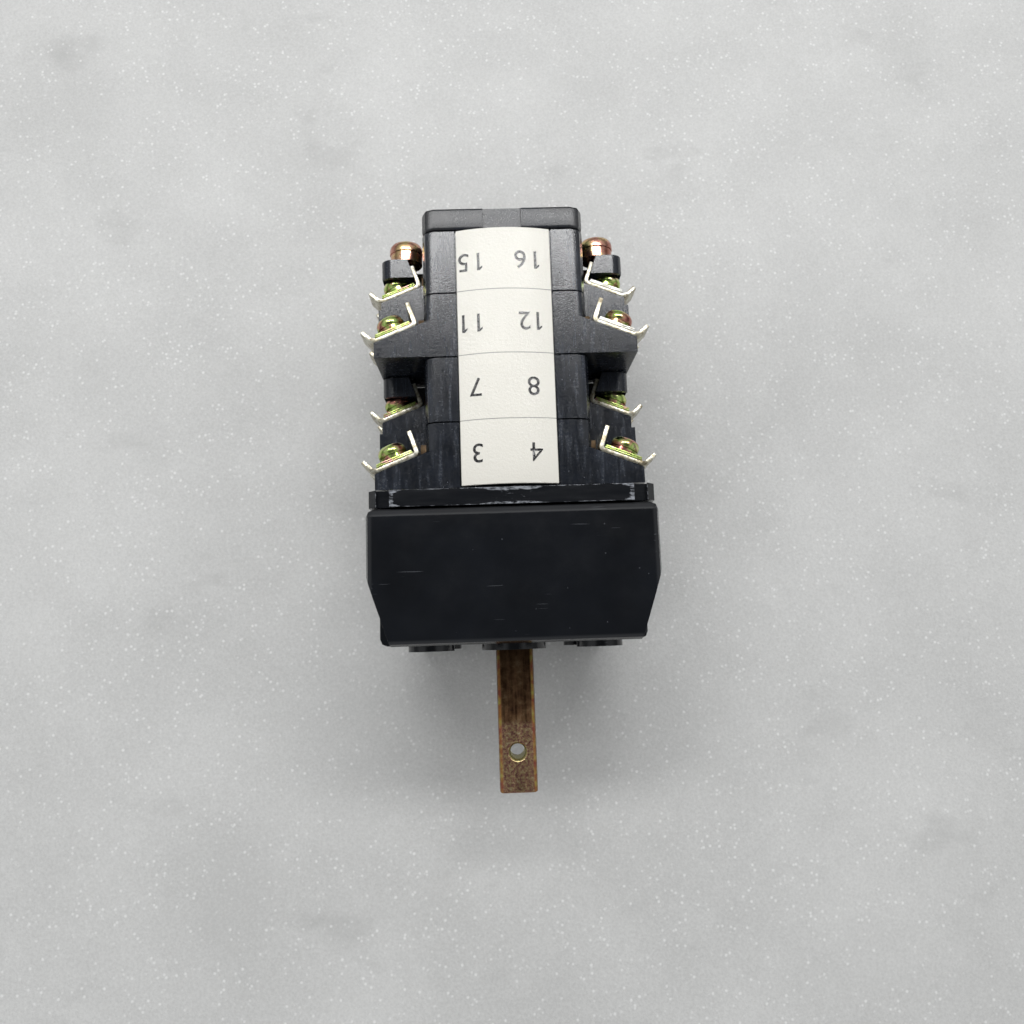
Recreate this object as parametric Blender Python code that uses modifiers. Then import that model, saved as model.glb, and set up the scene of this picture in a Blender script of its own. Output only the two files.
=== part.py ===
"""Speed control switch: a rotary cam switch for a panel, with four contact blocks behind a detent housing.

The origin is on the shaft's axis, at the front face of the housing, which meets the panel. X points
right, Y to the rear along the shaft, and Z up. Every second block is the same moulding turned half round.
"""

import math

import bmesh
import bpy
from mathutils import Matrix, Vector

MM = 0.001

# Clearance between pieces that touch, and the least wall round a hole
SEAT = 0.3 * MM
THIN_WALL = 0.5 * MM

# Drive shaft
SHAFT_SIDE = 8.0 * MM
SHAFT_CORNER = 1.0 * MM
SHAFT_REACH = 31.3 * MM
SHAFT_TIP_CHAMFER = 0.4 * MM
PIN_HOLE_RADIUS = 1.6 * MM
PIN_HOLE_SETBACK = 8.5 * MM
PIN_DISH_RADIUS = 2.15 * MM
PIN_DISH_DEPTH = 0.5 * MM
HUB_RADIUS = 7.0 * MM

# Mechanism housing
HOUSING_WIDTH = 56.4 * MM
HOUSING_LENGTH = 26.2 * MM
HOUSING_WALL = 2.6 * MM
FRONT_WALL = 3.0 * MM
HOUSING_EDGE = 1.5 * MM
RELIEF_LENGTH = 13.2 * MM
RELIEF_DEPTH = 4.6 * MM
SIDE_BAND_HEIGHT = 16.0 * MM
RIB_WIDTH = 7.4 * MM
RIB_HEIGHT = 20.4 * MM
FRONT_BOSS_PITCH = 33.6 * MM
FRONT_BOSS_RADIUS = 4.6 * MM
FRONT_BOSS_HEIGHT = 1.2 * MM
FIXING_HOLE_RADIUS = 1.7 * MM
FIXING_HOLE_DEPTH = 9.0 * MM
FIXING_POST_RADIUS = 4.2 * MM
COLLAR_RADIUS = 7.0 * MM
COLLAR_HEIGHT = 1.5 * MM

# Mechanism cover
COVER_THICKNESS = 3.3 * MM
COVER_INSET = 0.5 * MM
COVER_CORNER = 1.6 * MM
COVER_NOTCH_WIDTH = 2.6 * MM
COVER_NOTCH_DEPTH = 1.3 * MM
COVER_BAND_INSET = 4.6 * MM
COVER_PAD_HEIGHT = 1.6 * MM

# Contact blocks
BLOCK_COUNT = 4
BLOCK_PITCH = 14.0 * MM
COLUMN_SIDE = 34.6 * MM
COLUMN_CORNER = 2.6 * MM
COLUMN_WALL = 1.9 * MM
PARTITION = 1.6 * MM
FLANGE_EDGE = 3.3 * MM
RAMP_ANGLE = math.radians(22.0)
RAMP_RUN = 13.4 * MM
FLANGE_MARGIN = 1.0 * MM
LUG_FRONT = 9.3 * MM
LUG_CORNER = 2.7 * MM
LUG_WALL = 2.2 * MM

# Terminals, in the plane of the shaft: a base on the ramp, an outer and an inner prong, and a tongue
TERMINAL_WIDTH = 6.8 * MM
TERMINAL_PITCH = 12.7 * MM
TERMINAL_PLATE = 1.0 * MM
TERMINAL_BASE = 10.5 * MM
TERMINAL_OVERHANG = 0.7 * MM
OUTER_PRONG = 3.5 * MM
OUTER_PRONG_BEND = math.radians(66.0)
INNER_PRONG = 5.2 * MM
INNER_PRONG_BEND = math.radians(87.0)
TONGUE_THICKNESS = 0.8 * MM
TONGUE_WIDTH = 3.0 * MM
TONGUE_GAP = 16.0 * MM
TONGUE_LEVEL = 8.2 * MM
TONGUE_DROP_X = 14.0 * MM
CONTACT_RADIUS = 1.2 * MM
CONTACT_HEIGHT = 0.4 * MM

# Terminal screws with captive washers
SCREW_RADIUS = 1.6 * MM
SCREW_GRIP = 3.0 * MM
SCREW_HEAD_RADIUS = 3.0 * MM
SCREW_HEAD_HEIGHT = 2.3 * MM
SCREW_RECESS_DEPTH = 1.1 * MM
SCREW_RECESS_ARM = 3.4 * MM
SCREW_RECESS_WIDTH = 0.8 * MM
SPRING_WASHER_RADIUS = 2.7 * MM
SPRING_WASHER_THICKNESS = 0.9 * MM
CLAMP_LENGTH = 8.2 * MM
CLAMP_WIDTH = 6.6 * MM
CLAMP_THICKNESS = 0.8 * MM

# Tie rods, one on each side below the shaft, and the screws in the rear lugs of the last block
BOLT_RADIUS = 1.5 * MM
BOLT_INSET = 4.0 * MM
BOLT_GRIP = 12.0 * MM
ROD_HEAD_RADIUS = 2.1 * MM
ROD_HEAD_HEIGHT = 1.2 * MM
LUG_SCREW_INSET = 5.5 * MM
LUG_SCREW_RADIUS = 1.2 * MM
LUG_SCREW_GRIP = 1.2 * MM
LUG_HEAD_RADIUS = 3.85 * MM
LUG_HEAD_HEIGHT = 3.4 * MM
LUG_WASHER_RADIUS = 3.3 * MM
LUG_WASHER_THICKNESS = 1.8 * MM

# End plate and label strip
END_PLATE_THICKNESS = 5.1 * MM
END_PLATE_EDGE = 1.4 * MM
END_GROOVE_WIDTH = 8.2 * MM
END_GROOVE_DEPTH = 0.8 * MM
END_SPIGOT = 1.5 * MM
LABEL_WIDTH = 20.0 * MM
LABEL_THICKNESS = 0.5 * MM
LABEL_CROWN = 1.5 * MM
LABEL_RECESS = 0.7 * MM

# Cams and moving contacts
TURN_LIMIT = math.radians(45.0)
CONTACT_TRAVEL = 1.2 * MM
CAM_RADIUS = 9.0 * MM
CAM_WIDTH = 5.0 * MM
CAM_SPIRAL_SPAN = math.radians(60.0)
NOSE_RADIUS = 2.0 * MM
NOSE_WIDTH = 4.0 * MM
BRIDGE_THICKNESS = 0.8 * MM
BRIDGE_OVERLAP = 4.2 * MM
GUIDE_RADIUS = 1.1 * MM
GUIDE_HEIGHT = 1.3 * MM
SPRING_RADIUS = 1.9 * MM
SPRING_WIRE = 0.45 * MM
SPRING_TURNS = 2.0

# Detent
DETENT_WIDTH = 8.0 * MM
DETENT_RADIUS = 13.6 * MM
DETENT_LIFT = 1.2 * MM
DETENT_NOTCHES = 8
DETENT_SETBACK = 5.0 * MM
STOP_REACH = 18.0 * MM
STOP_BACKING = 2.0 * MM
STOP_HALF_ANGLE = math.radians(9.0)
STOP_GAP_ANGLE = math.radians(2.5)
STOP_POST_ANGLE = math.radians(14.0)
LEAF_THICKNESS = 0.6 * MM
LEAF_WIDTH = 6.0 * MM
LEAF_HALF_SPAN = 20.0 * MM
LEAF_FOOT = 2.5 * MM
CLIP_THICKNESS = 0.9 * MM
CLIP_RIM = 1.6 * MM
CLIP_OPENING = math.radians(50.0)

# Facets
ROUND_SEGMENTS = 20
SMALL_SEGMENTS = 8
HEAD_SEGMENTS = 10
HUB_SEGMENTS = 12
CORNER_SEGMENTS = 2
CAM_FACETS = 30
SMOOTH_ANGLE = math.radians(35.0)

# Places that follow from the sizes
SHAFT_SWEEP = (SHAFT_SIDE / 2 - SHAFT_CORNER) * math.sqrt(2) + SHAFT_CORNER
SHAFT_BORE = SHAFT_SWEEP + SEAT
HUB_BORE = HUB_RADIUS + SEAT
SQUARE_BORE = SHAFT_SIDE + 2 * SEAT
COVER_FRONT = HOUSING_LENGTH + SEAT
COVER_REAR = COVER_FRONT + COVER_THICKNESS
STACK_FRONT = COVER_REAR + COVER_PAD_HEIGHT + SEAT
BLOCK_LENGTH = BLOCK_PITCH - SEAT
STACK_REAR = STACK_FRONT + BLOCK_COUNT * BLOCK_PITCH
SHAFT_END = STACK_REAR + END_PLATE_THICKNESS / 2
CAVITY_SIDE = COLUMN_SIDE - 2 * COLUMN_WALL
FLANGE_WIDTH = HOUSING_WIDTH - 2 * COVER_INSET
FLANGE_BOTTOM = -TERMINAL_WIDTH / 2 - FLANGE_MARGIN
BOLT_X = FLANGE_WIDTH / 2 - BOLT_INSET
BOLT_LEVEL = TERMINAL_PITCH / 2
BOLT_HOLE = BOLT_RADIUS + SEAT
BOLT_SEAT = STACK_REAR
LUG_HALF_HEIGHT = (TERMINAL_PITCH - TERMINAL_WIDTH) / 2 - SEAT
LUG_SCREW_X = FLANGE_WIDTH / 2 - LUG_SCREW_INSET
SCREW_HOLE = SCREW_RADIUS + SEAT
TRAVEL_PER_RADIAN = CONTACT_TRAVEL / TURN_LIMIT
FIXED_FACE = TONGUE_LEVEL + TONGUE_THICKNESS / 2 + CONTACT_HEIGHT
BRIDGE_LEVEL = FIXED_FACE + SEAT + CONTACT_TRAVEL + CONTACT_HEIGHT
BRIDGE_TOP = BRIDGE_LEVEL + BRIDGE_THICKNESS
CONTACT_X = TONGUE_GAP / 2 + CONTACT_RADIUS + THIN_WALL
DETENT_REAR = COVER_FRONT - DETENT_SETBACK
DETENT_FRONT = DETENT_REAR - DETENT_WIDTH

HELPERS = "helpers"
PARTS = "speed_control_switch"


def clear_scene():
    for thing in list(bpy.data.objects):
        bpy.data.objects.remove(thing, do_unlink=True)


def new_collection(name):
    collection = bpy.data.collections.new(name)
    bpy.context.scene.collection.children.link(collection)
    return collection


def make_material(name, color, roughness, metallic=0.0):
    """A Principled material of one colour."""
    material = bpy.data.materials.new(name)
    material.use_nodes = True
    shader = material.node_tree.nodes["Principled BSDF"]
    shader.inputs["Base Color"].default_value = (*color, 1.0)
    shader.inputs["Roughness"].default_value = roughness
    shader.inputs["Metallic"].default_value = metallic
    material.diffuse_color = (*color, 1.0)
    return material


def make_helper(name, mesh):
    """An object that only shapes others: it stays out of the part."""
    helper = bpy.data.objects.new(name, mesh)
    helper.hide_render = True
    helper.display_type = "WIRE"
    bpy.data.collections[HELPERS].objects.link(helper)
    return helper


def finished_mesh(source, name):
    """The mesh that the modifiers of an object give, in the object's own axes."""
    bpy.context.view_layer.update()
    graph = bpy.context.evaluated_depsgraph_get()
    mesh = bpy.data.meshes.new_from_object(source.evaluated_get(graph))
    mesh.name = name
    return mesh


def place_part(name, mesh, material, parent=None, location=(0, 0, 0), rotation=(0, 0, 0)):
    """Adds one piece of the switch."""
    part = bpy.data.objects.new(name, mesh)
    if not mesh.materials:
        mesh.materials.append(material)
    mesh.shade_smooth()
    mesh.set_sharp_from_angle(angle=SMOOTH_ANGLE)
    part.parent = parent
    part.location = location
    part.rotation_euler = rotation
    bpy.data.collections[PARTS].objects.link(part)
    return part


def place_empty(name, location=(0, 0, 0), rotation=(0, 0, 0), parent=None):
    empty = bpy.data.objects.new(name, None)
    empty.empty_display_size = HUB_RADIUS
    empty.location = location
    empty.rotation_euler = rotation
    empty.parent = parent
    bpy.data.collections[PARTS].objects.link(empty)
    return empty


def box(name, low, high):
    """A block between two corners."""
    shape = bmesh.new()
    bmesh.ops.create_cube(shape, size=1.0)
    low, high = Vector(low), Vector(high)
    size = high - low
    bmesh.ops.transform(shape, matrix=Matrix.Diagonal((*size, 1.0)), verts=shape.verts)
    bmesh.ops.translate(shape, vec=(low + high) / 2, verts=shape.verts)
    mesh = bpy.data.meshes.new(name)
    shape.to_mesh(mesh)
    shape.free()
    return make_helper(name, mesh)


def cylinder(name, start, end, radius, end_radius=None, segments=ROUND_SEGMENTS):
    """A round bar, or a cone, between two points."""
    start, end = Vector(start), Vector(end)
    along = end - start
    shape = bmesh.new()
    bmesh.ops.create_cone(
        shape,
        cap_ends=True,
        segments=segments,
        radius1=radius,
        radius2=radius if end_radius is None else end_radius,
        depth=along.length,
    )
    turn = Vector((0, 0, 1)).rotation_difference(along).to_matrix().to_4x4()
    bmesh.ops.transform(shape, matrix=Matrix.Translation((start + end) / 2) @ turn, verts=shape.verts)
    mesh = bpy.data.meshes.new(name)
    shape.to_mesh(mesh)
    shape.free()
    return make_helper(name, mesh)


def plate(name, outlines, low, high, along="Z"):
    """Flat outlines, of which the later ones are holes, given a thickness along Z or Y."""
    curve = bpy.data.curves.new(name, "CURVE")
    curve.dimensions = "2D"
    curve.fill_mode = "BOTH"
    curve.extrude = (high - low) / 2
    for outline in outlines:
        spline = curve.splines.new("POLY")
        spline.points.add(len(outline) - 1)
        for point, (a, b) in zip(spline.points, outline):
            point.co = (a, b, 0, 1)
        spline.use_cyclic_u = True
    outline_object = make_helper(name, curve)
    mesh = finished_mesh(outline_object, name)
    bpy.data.objects.remove(outline_object)
    middle = (low + high) / 2
    if along == "Z":
        mesh.transform(Matrix.Translation((0, 0, middle)))
    else:
        mesh.transform(Matrix.Translation((0, middle, 0)) @ Matrix.Rotation(math.pi / 2, 4, "X"))
    weld(mesh)
    return make_helper(name, mesh)


def weld(mesh):
    shape = bmesh.new()
    shape.from_mesh(mesh)
    bmesh.ops.remove_doubles(shape, verts=shape.verts, dist=0.001 * MM)
    bmesh.ops.recalc_face_normals(shape, faces=shape.faces)
    shape.to_mesh(mesh)
    shape.free()


def turned(name, profile, segments):
    """A profile of (radius, height) points, from the top down, turned about Z."""
    shape = bmesh.new()
    points = [shape.verts.new((radius, 0, height)) for radius, height in profile]
    for first, second in zip(points, points[1:]):
        shape.edges.new((first, second))
    mesh = bpy.data.meshes.new(name)
    shape.to_mesh(mesh)
    shape.free()
    spun = make_helper(name, mesh)
    screw = spun.modifiers.new("Turn", "SCREW")
    screw.steps = screw.render_steps = segments
    screw.use_merge_vertices = True
    screw.merge_threshold = 0.01 * MM
    solid = finished_mesh(spun, name)
    bpy.data.objects.remove(spun)
    weld(solid)
    return make_helper(name, solid)


def bevel(target, width, segments=1, angle=math.radians(60.0)):
    rounding = target.modifiers.new("Rounded edges", "BEVEL")
    rounding.width = width
    rounding.segments = segments
    rounding.limit_method = "ANGLE"
    rounding.angle_limit = angle
    return target


def shape_with(target, tools, operation):
    for tool in tools:
        step = target.modifiers.new(tool.name, "BOOLEAN")
        step.operation = operation
        step.object = tool
        step.solver = "EXACT"
    return target


def join(target, *tools):
    return shape_with(target, tools, "UNION")


def cut(target, *tools):
    return shape_with(target, tools, "DIFFERENCE")


def mirrored(source, axis="X"):
    """A helper that is the mirror image of another, across the plane through the shaft."""
    mesh = finished_mesh(source, source.name + "_mirrored")
    flip = Matrix.Diagonal((-1, 1, 1, 1)) if axis == "X" else Matrix.Diagonal((1, 1, -1, 1))
    mesh.transform(flip)
    mesh.flip_normals()
    return make_helper(mesh.name, mesh)


def settled(source, name):
    """A helper whose mesh already holds its modifiers' work."""
    return make_helper(name, finished_mesh(source, name))


def arc(centre, radius, start, end, count):
    """Points on an arc in a plane, both ends included."""
    step = (end - start) / (count - 1)
    return [
        (centre[0] + radius * math.cos(start + step * i), centre[1] + radius * math.sin(start + step * i))
        for i in range(count)
    ]


def rounded_square(width, height, radius):
    """A rectangle with rounded corners, centred on the shaft."""
    points = []
    for quarter, (side, level) in enumerate(((1, 1), (-1, 1), (-1, -1), (1, -1))):
        centre = (side * (width / 2 - radius), level * (height / 2 - radius))
        start = quarter * math.pi / 2
        points += arc(centre, radius, start, start + math.pi / 2, CORNER_SEGMENTS + 1)
    return points


def bent_strip(path, thickness):
    """The outline of a strip of one thickness bent along a path, with mitred bends."""
    points = [Vector(point) for point in path]
    half = thickness / 2
    left, right = [], []
    for i, point in enumerate(points):
        before = (point - points[i - 1]).normalized() if i else None
        after = (points[i + 1] - point).normalized() if i + 1 < len(points) else None
        first, second = before or after, after or before
        normal = (Vector((-first.y, first.x)) + Vector((-second.y, second.x))).normalized()
        reach = half / normal.dot(Vector((-first.y, first.x)))
        left.append(tuple(point + normal * reach))
        right.append(tuple(point - normal * reach))
    return left + right[::-1]


def polar_outline(radius_at, count):
    """Points of a closed outline whose radius is a function of the angle from Z towards X."""
    points = []
    for i in range(count):
        angle = 2 * math.pi * i / count
        radius = radius_at(angle)
        points.append((radius * math.sin(angle), radius * math.cos(angle)))
    return points


def ramp_height(x):
    """Height of the flange's sloped rear face at a distance from the shaft."""
    return FLANGE_EDGE + (FLANGE_WIDTH / 2 - x) * math.tan(RAMP_ANGLE)


def square_bore(name, low, high):
    return plate(name, [rounded_square(SQUARE_BORE, SQUARE_BORE, SHAFT_CORNER)], low, high, along="Y")


def corners(x, z):
    return [(side * x, level * z) for side in (-1, 1) for level in (-1, 1)]


def rod_holes(start, end, level=-BOLT_LEVEL):
    """Bores for the two tie rods."""
    holes = []
    for side in (-1, 1):
        x = side * BOLT_X
        holes.append(cylinder("rod_hole", (x, start, level), (x, end, level), BOLT_HOLE, None, SMALL_SEGMENTS))
    return holes


def make_shaft(material, parent):
    """The square bar, with a pin hole for the knob near its tip."""
    section = rounded_square(SHAFT_SIDE, SHAFT_SIDE, SHAFT_CORNER)
    bar = plate("shaft_bar", [section], -SHAFT_REACH, SHAFT_END, along="Y")
    bevel(bar, SHAFT_TIP_CHAMFER)
    hole_y = PIN_HOLE_SETBACK - SHAFT_REACH
    half = SHAFT_SIDE / 2
    tools = [cylinder("pin_hole", (0, hole_y, -half - SEAT), (0, hole_y, half + SEAT), PIN_HOLE_RADIUS)]
    for side in (-1, 1):
        mouth = (0, hole_y, side * (half + SEAT))
        bottom = (0, hole_y, side * (half - PIN_DISH_DEPTH))
        tools.append(cylinder("pin_dish", mouth, bottom, PIN_DISH_RADIUS + SEAT, PIN_HOLE_RADIUS))
    cut(bar, *tools)
    return place_part("drive_shaft", finished_mesh(bar, "drive_shaft"), material, parent)


def relief_outline(side):
    """The corner of the housing's side that tapers in towards the panel, seen from above."""
    half = HOUSING_WIDTH / 2
    return [
        (side * (half - RELIEF_DEPTH), -SEAT),
        (side * half, RELIEF_LENGTH),
        (side * (half + SEAT), RELIEF_LENGTH),
        (side * (half + SEAT), -SEAT),
    ]


def make_housing(material):
    """The moulded box that holds the detent, open at the rear."""
    half = HOUSING_WIDTH / 2
    body = box("housing_body", (-half, 0, -half), (half, HOUSING_LENGTH, half))
    bevel(body, HOUSING_EDGE, CORNER_SEGMENTS)
    reliefs = []
    for side in (-1, 1):
        for level in (-1, 1):
            low, high = sorted((level * SIDE_BAND_HEIGHT / 2, level * (half + SEAT)))
            reliefs.append(plate("corner_relief", [relief_outline(side)], low, high))
    cut(body, *reliefs)

    inside = half - HOUSING_WALL
    cavity = box("cavity", (-inside, FRONT_WALL, -inside), (inside, HOUSING_LENGTH + SEAT, inside))
    corner_fill = []
    for side in (-1, 1):
        outline = [(x - side * (HOUSING_WALL + THIN_WALL), y) for x, y in relief_outline(side)[:2]]
        outline += relief_outline(side)[2:]
        for level in (-1, 1):
            low, high = sorted((level * (SIDE_BAND_HEIGHT / 2 - HOUSING_WALL), level * half))
            corner_fill.append(plate("corner_wall", [outline], low, high))
    cut(cavity, *corner_fill)
    cut(body, settled(cavity, "housing_cavity"))

    buried = FRONT_WALL / 2
    additions = [cylinder("collar", (0, -COLLAR_HEIGHT, 0), (0, buried, 0), COLLAR_RADIUS)]
    pitch = FRONT_BOSS_PITCH / 2
    for x, z in corners(pitch, pitch):
        additions.append(cylinder("boss", (x, -FRONT_BOSS_HEIGHT, z), (x, buried, z), FRONT_BOSS_RADIUS))
        post_start, post_end = buried - SEAT, FIXING_HOLE_DEPTH + buried
        start, end = (x, post_start, z), (x, post_end, z)
        additions.append(cylinder("post", start, end, FIXING_POST_RADIUS, None, HUB_SEGMENTS))
    for side in (-1, 1):
        additions.append(make_stop_post(side))
        inner, outer = sorted((side * (inside - RIB_WIDTH), side * (inside + THIN_WALL)))
        low = (inner, buried + SEAT, -RIB_HEIGHT / 2)
        additions.append(box("bolt_rib", low, (outer, HOUSING_LENGTH - SEAT, RIB_HEIGHT / 2)))
    join(body, *additions)

    tools = [cylinder("shaft_bore", (0, -COLLAR_HEIGHT - SEAT, 0), (0, FRONT_WALL + SEAT, 0), SHAFT_BORE)]
    for x, z in corners(pitch, pitch):
        start, end = (x, -FRONT_BOSS_HEIGHT - SEAT, z), (x, FIXING_HOLE_DEPTH, z)
        tools.append(cylinder("fixing_hole", start, end, FIXING_HOLE_RADIUS, None, SMALL_SEGMENTS))
    tools += rod_holes(HOUSING_LENGTH - BOLT_GRIP - SEAT, HOUSING_LENGTH + SEAT)
    cut(body, *tools)
    return place_part("mechanism_housing", finished_mesh(body, "mechanism_housing"), material)


def make_stop_post(side):
    """One of the two posts in the housing that stop the detent wheel's lug."""
    near = math.pi - side * (TURN_LIMIT + STOP_HALF_ANGLE + STOP_GAP_ANGLE)
    far = near - side * STOP_POST_ANGLE
    inner = DETENT_RADIUS + DETENT_LIFT + SEAT
    outer = STOP_REACH + STOP_BACKING
    ends = ((inner, near), (outer, near), (outer, far), (inner, far))
    outline = [(radius * math.sin(angle), radius * math.cos(angle)) for radius, angle in ends]
    return plate("stop_post", [outline], FRONT_WALL / 2, DETENT_REAR - SEAT, along="Y")


def cover_outline():
    """The cover plate seen along the shaft, with its notches in the top and bottom edges."""
    half = HOUSING_WIDTH / 2 - COVER_INSET
    step = half - COVER_CORNER
    band = HOUSING_WIDTH / 2 - COVER_BAND_INSET
    notch = band + COVER_NOTCH_WIDTH
    floor = half - COVER_NOTCH_DEPTH
    quarter = [(half, step), (step, half), (notch, half), (notch, floor), (band, floor), (band, half)]
    top = quarter + [(-x, z) for x, z in quarter[::-1]]
    return top + [(-x, -z) for x, z in top]


def make_cover(material):
    """The plate behind the detent, with a raised pad that carries the contact blocks."""
    cover = plate("cover_plate", [cover_outline()], COVER_FRONT, COVER_REAR, along="Y")
    pad_outline = rounded_square(COLUMN_SIDE, COLUMN_SIDE, COLUMN_CORNER)
    pad = plate("cover_pad", [pad_outline], COVER_REAR - THIN_WALL, COVER_REAR + COVER_PAD_HEIGHT, along="Y")
    join(cover, pad)
    reach = SEAT + COVER_PAD_HEIGHT
    tools = [cylinder("hub_bore", (0, COVER_FRONT - SEAT, 0), (0, COVER_REAR + reach, 0), HUB_BORE)]
    tools += rod_holes(COVER_FRONT - SEAT, COVER_REAR + reach)
    cut(cover, *tools)
    return place_part("mechanism_cover", finished_mesh(cover, "mechanism_cover"), material)


def screw_axis(level, side=1):
    """The point on the ramp under a terminal's screw, and the direction in which the screw stands."""
    middle = FLANGE_WIDTH / 2 + TERMINAL_OVERHANG - TERMINAL_BASE * math.cos(RAMP_ANGLE) / 2
    point = Vector((side * middle, ramp_height(middle), level))
    return point, Vector((side * math.sin(RAMP_ANGLE), math.cos(RAMP_ANGLE), 0))


def lug_plan():
    """A rear lug seen from above: its inner side runs along the terminal's inner prong."""
    inner = base_ends()[1]
    angle = math.pi - RAMP_ANGLE - INNER_PRONG_BEND
    gap = (TERMINAL_PLATE / 2 + SEAT + THIN_WALL / 4) / math.sin(angle)
    sides = [(inner.x + (y - inner.y) / math.tan(angle) + gap, y) for y in (LUG_FRONT, BLOCK_LENGTH)]
    outer = FLANGE_WIDTH / 2
    return [sides[0], (outer, LUG_FRONT), (outer, BLOCK_LENGTH), sides[1]]


def rear_lug(bottom, top):
    """The lug behind a terminal's screw, rounded along its outer edge."""
    outer = FLANGE_WIDTH / 2
    root = outer - RAMP_RUN
    centre = (outer - LUG_CORNER, bottom + LUG_CORNER)
    corner = arc(centre, LUG_CORNER, -math.pi / 2, 0, 2 * CORNER_SEGMENTS + 1)
    outline = [(root, bottom), *corner, (outer, top), (root, top)]
    section = plate("lug_section", [outline], LUG_FRONT - SEAT, BLOCK_LENGTH + SEAT, along="Y")
    lug = plate("lug", [lug_plan()], bottom - SEAT, top + SEAT)
    return settled(shape_with(lug, [section], "INTERSECT"), "rear_lug")


def head_room():
    """The space for a terminal screw's head in front of its lug."""
    point, normal = screw_axis(0)
    height = TERMINAL_PLATE + CLAMP_THICKNESS + SPRING_WASHER_THICKNESS + SCREW_HEAD_HEIGHT + 4 * SEAT
    start, end = point + normal * SEAT, point + normal * height
    return cylinder("head_room", start, end, SCREW_HEAD_RADIUS + SEAT, None, HUB_SEGMENTS)


def half_block(turned_round):
    """What the right-hand side of a contact block adds to its column."""
    outer = FLANGE_WIDTH / 2
    inner = outer - RAMP_RUN
    root = COLUMN_SIDE / 2 - COLUMN_WALL / 2
    top = COLUMN_SIDE / 2
    flange_outline = [(inner, 0), (outer, 0), (outer, FLANGE_EDGE), (inner, ramp_height(inner))]
    side_outline = [(root, 0), (outer, 0), (outer, FLANGE_EDGE), (root, ramp_height(root))]
    cap = plate("flange_cap", [flange_outline], CAVITY_SIDE / 2 + COLUMN_WALL / 4, top)
    flange = plate("flange", [side_outline], FLANGE_BOTTOM, top)
    low, high = BOLT_LEVEL - LUG_HALF_HEIGHT, BOLT_LEVEL + LUG_HALF_HEIGHT
    front, rear = FLANGE_EDGE / 2, BLOCK_LENGTH
    barrier = plate("barrier", [[(root, front), (outer, front), (outer, rear), (root, rear)]], low, high)
    lugs = [rear_lug(FLANGE_BOTTOM, low + THIN_WALL)]
    if not turned_round:
        lugs.append(plate("rod_guide", [lug_plan()], -high, FLANGE_BOTTOM + LUG_CORNER))
    join(flange, cap, barrier, *lugs)
    cut(flange, head_room())
    return settled(flange, "half_block")


def block_cutters(turned_round):
    """Everything that is hollow in a contact block."""
    inside = rounded_square(CAVITY_SIDE, CAVITY_SIDE, COLUMN_CORNER / 2)
    tools = [plate("cavity", [inside], PARTITION, BLOCK_PITCH, along="Y")]
    tools.append(cylinder("hub_bore", (0, -SEAT, 0), (0, PARTITION + SEAT, 0), HUB_BORE))
    tools += rod_holes(-SEAT, BLOCK_PITCH, BOLT_LEVEL if turned_round else -BOLT_LEVEL)
    for side in (-1, 1):
        start, end = BLOCK_LENGTH - LUG_WALL, BLOCK_PITCH
        x, radius = side * LUG_SCREW_X, LUG_SCREW_RADIUS + SEAT
        tools.append(cylinder("lug_hole", (x, start, 0), (x, end, 0), radius, None, SMALL_SEGMENTS))
        for level in (0, TERMINAL_PITCH):
            point, normal = screw_axis(level, side)
            end = point - normal * (SCREW_GRIP + SEAT)
            tools.append(cylinder("screw_hole", point + normal * SEAT, end, SCREW_HOLE, None, SMALL_SEGMENTS))
        for level in (0, outer_tongue_level()):
            half = TONGUE_THICKNESS / 2 + SEAT
            inner, outer = sorted((side * (CAVITY_SIDE / 2 - SEAT), side * (COLUMN_SIDE / 2 + SEAT)))
            low = (inner, tongue_front() - SEAT, level - half)
            tools.append(box("tongue_slot", low, (outer, BLOCK_PITCH, level + half)))
    half = LABEL_WIDTH / 2 + SEAT
    for level in (-1, 1):
        floor, face = sorted((level * (COLUMN_SIDE / 2 - LABEL_RECESS), level * (COLUMN_SIDE / 2 + SEAT)))
        tools.append(box("label_recess", (-half, -SEAT, floor), (half, BLOCK_PITCH, face)))
    return tools


def make_block_mesh(turned_round):
    """One contact block: a square column with a flange on each side for two terminals."""
    column = plate("column", [rounded_square(COLUMN_SIDE, COLUMN_SIDE, COLUMN_CORNER)], 0, BLOCK_LENGTH, along="Y")
    right = half_block(turned_round)
    join(column, right, mirrored(right))
    cut(column, *block_cutters(turned_round))
    return finished_mesh(column, "contact_block")


def base_ends():
    """The outer and inner ends of a terminal's base, on the middle of its plate."""
    rise = (SEAT + TERMINAL_PLATE / 2) / math.cos(RAMP_ANGLE)
    outer_x = FLANGE_WIDTH / 2 + TERMINAL_OVERHANG
    outer = Vector((outer_x, ramp_height(outer_x) + rise))
    return outer, outer + Vector((-math.cos(RAMP_ANGLE), math.sin(RAMP_ANGLE))) * TERMINAL_BASE


def tongue_front():
    """Where a terminal's tongue starts along the shaft: just behind the bend of its inner prong."""
    return base_ends()[1].y


def outer_tongue_level():
    """Level at which the tongue of an outer terminal passes through the column's wall."""
    return TERMINAL_PITCH - TERMINAL_WIDTH / 2 + TONGUE_THICKNESS / 2 + SEAT


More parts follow.
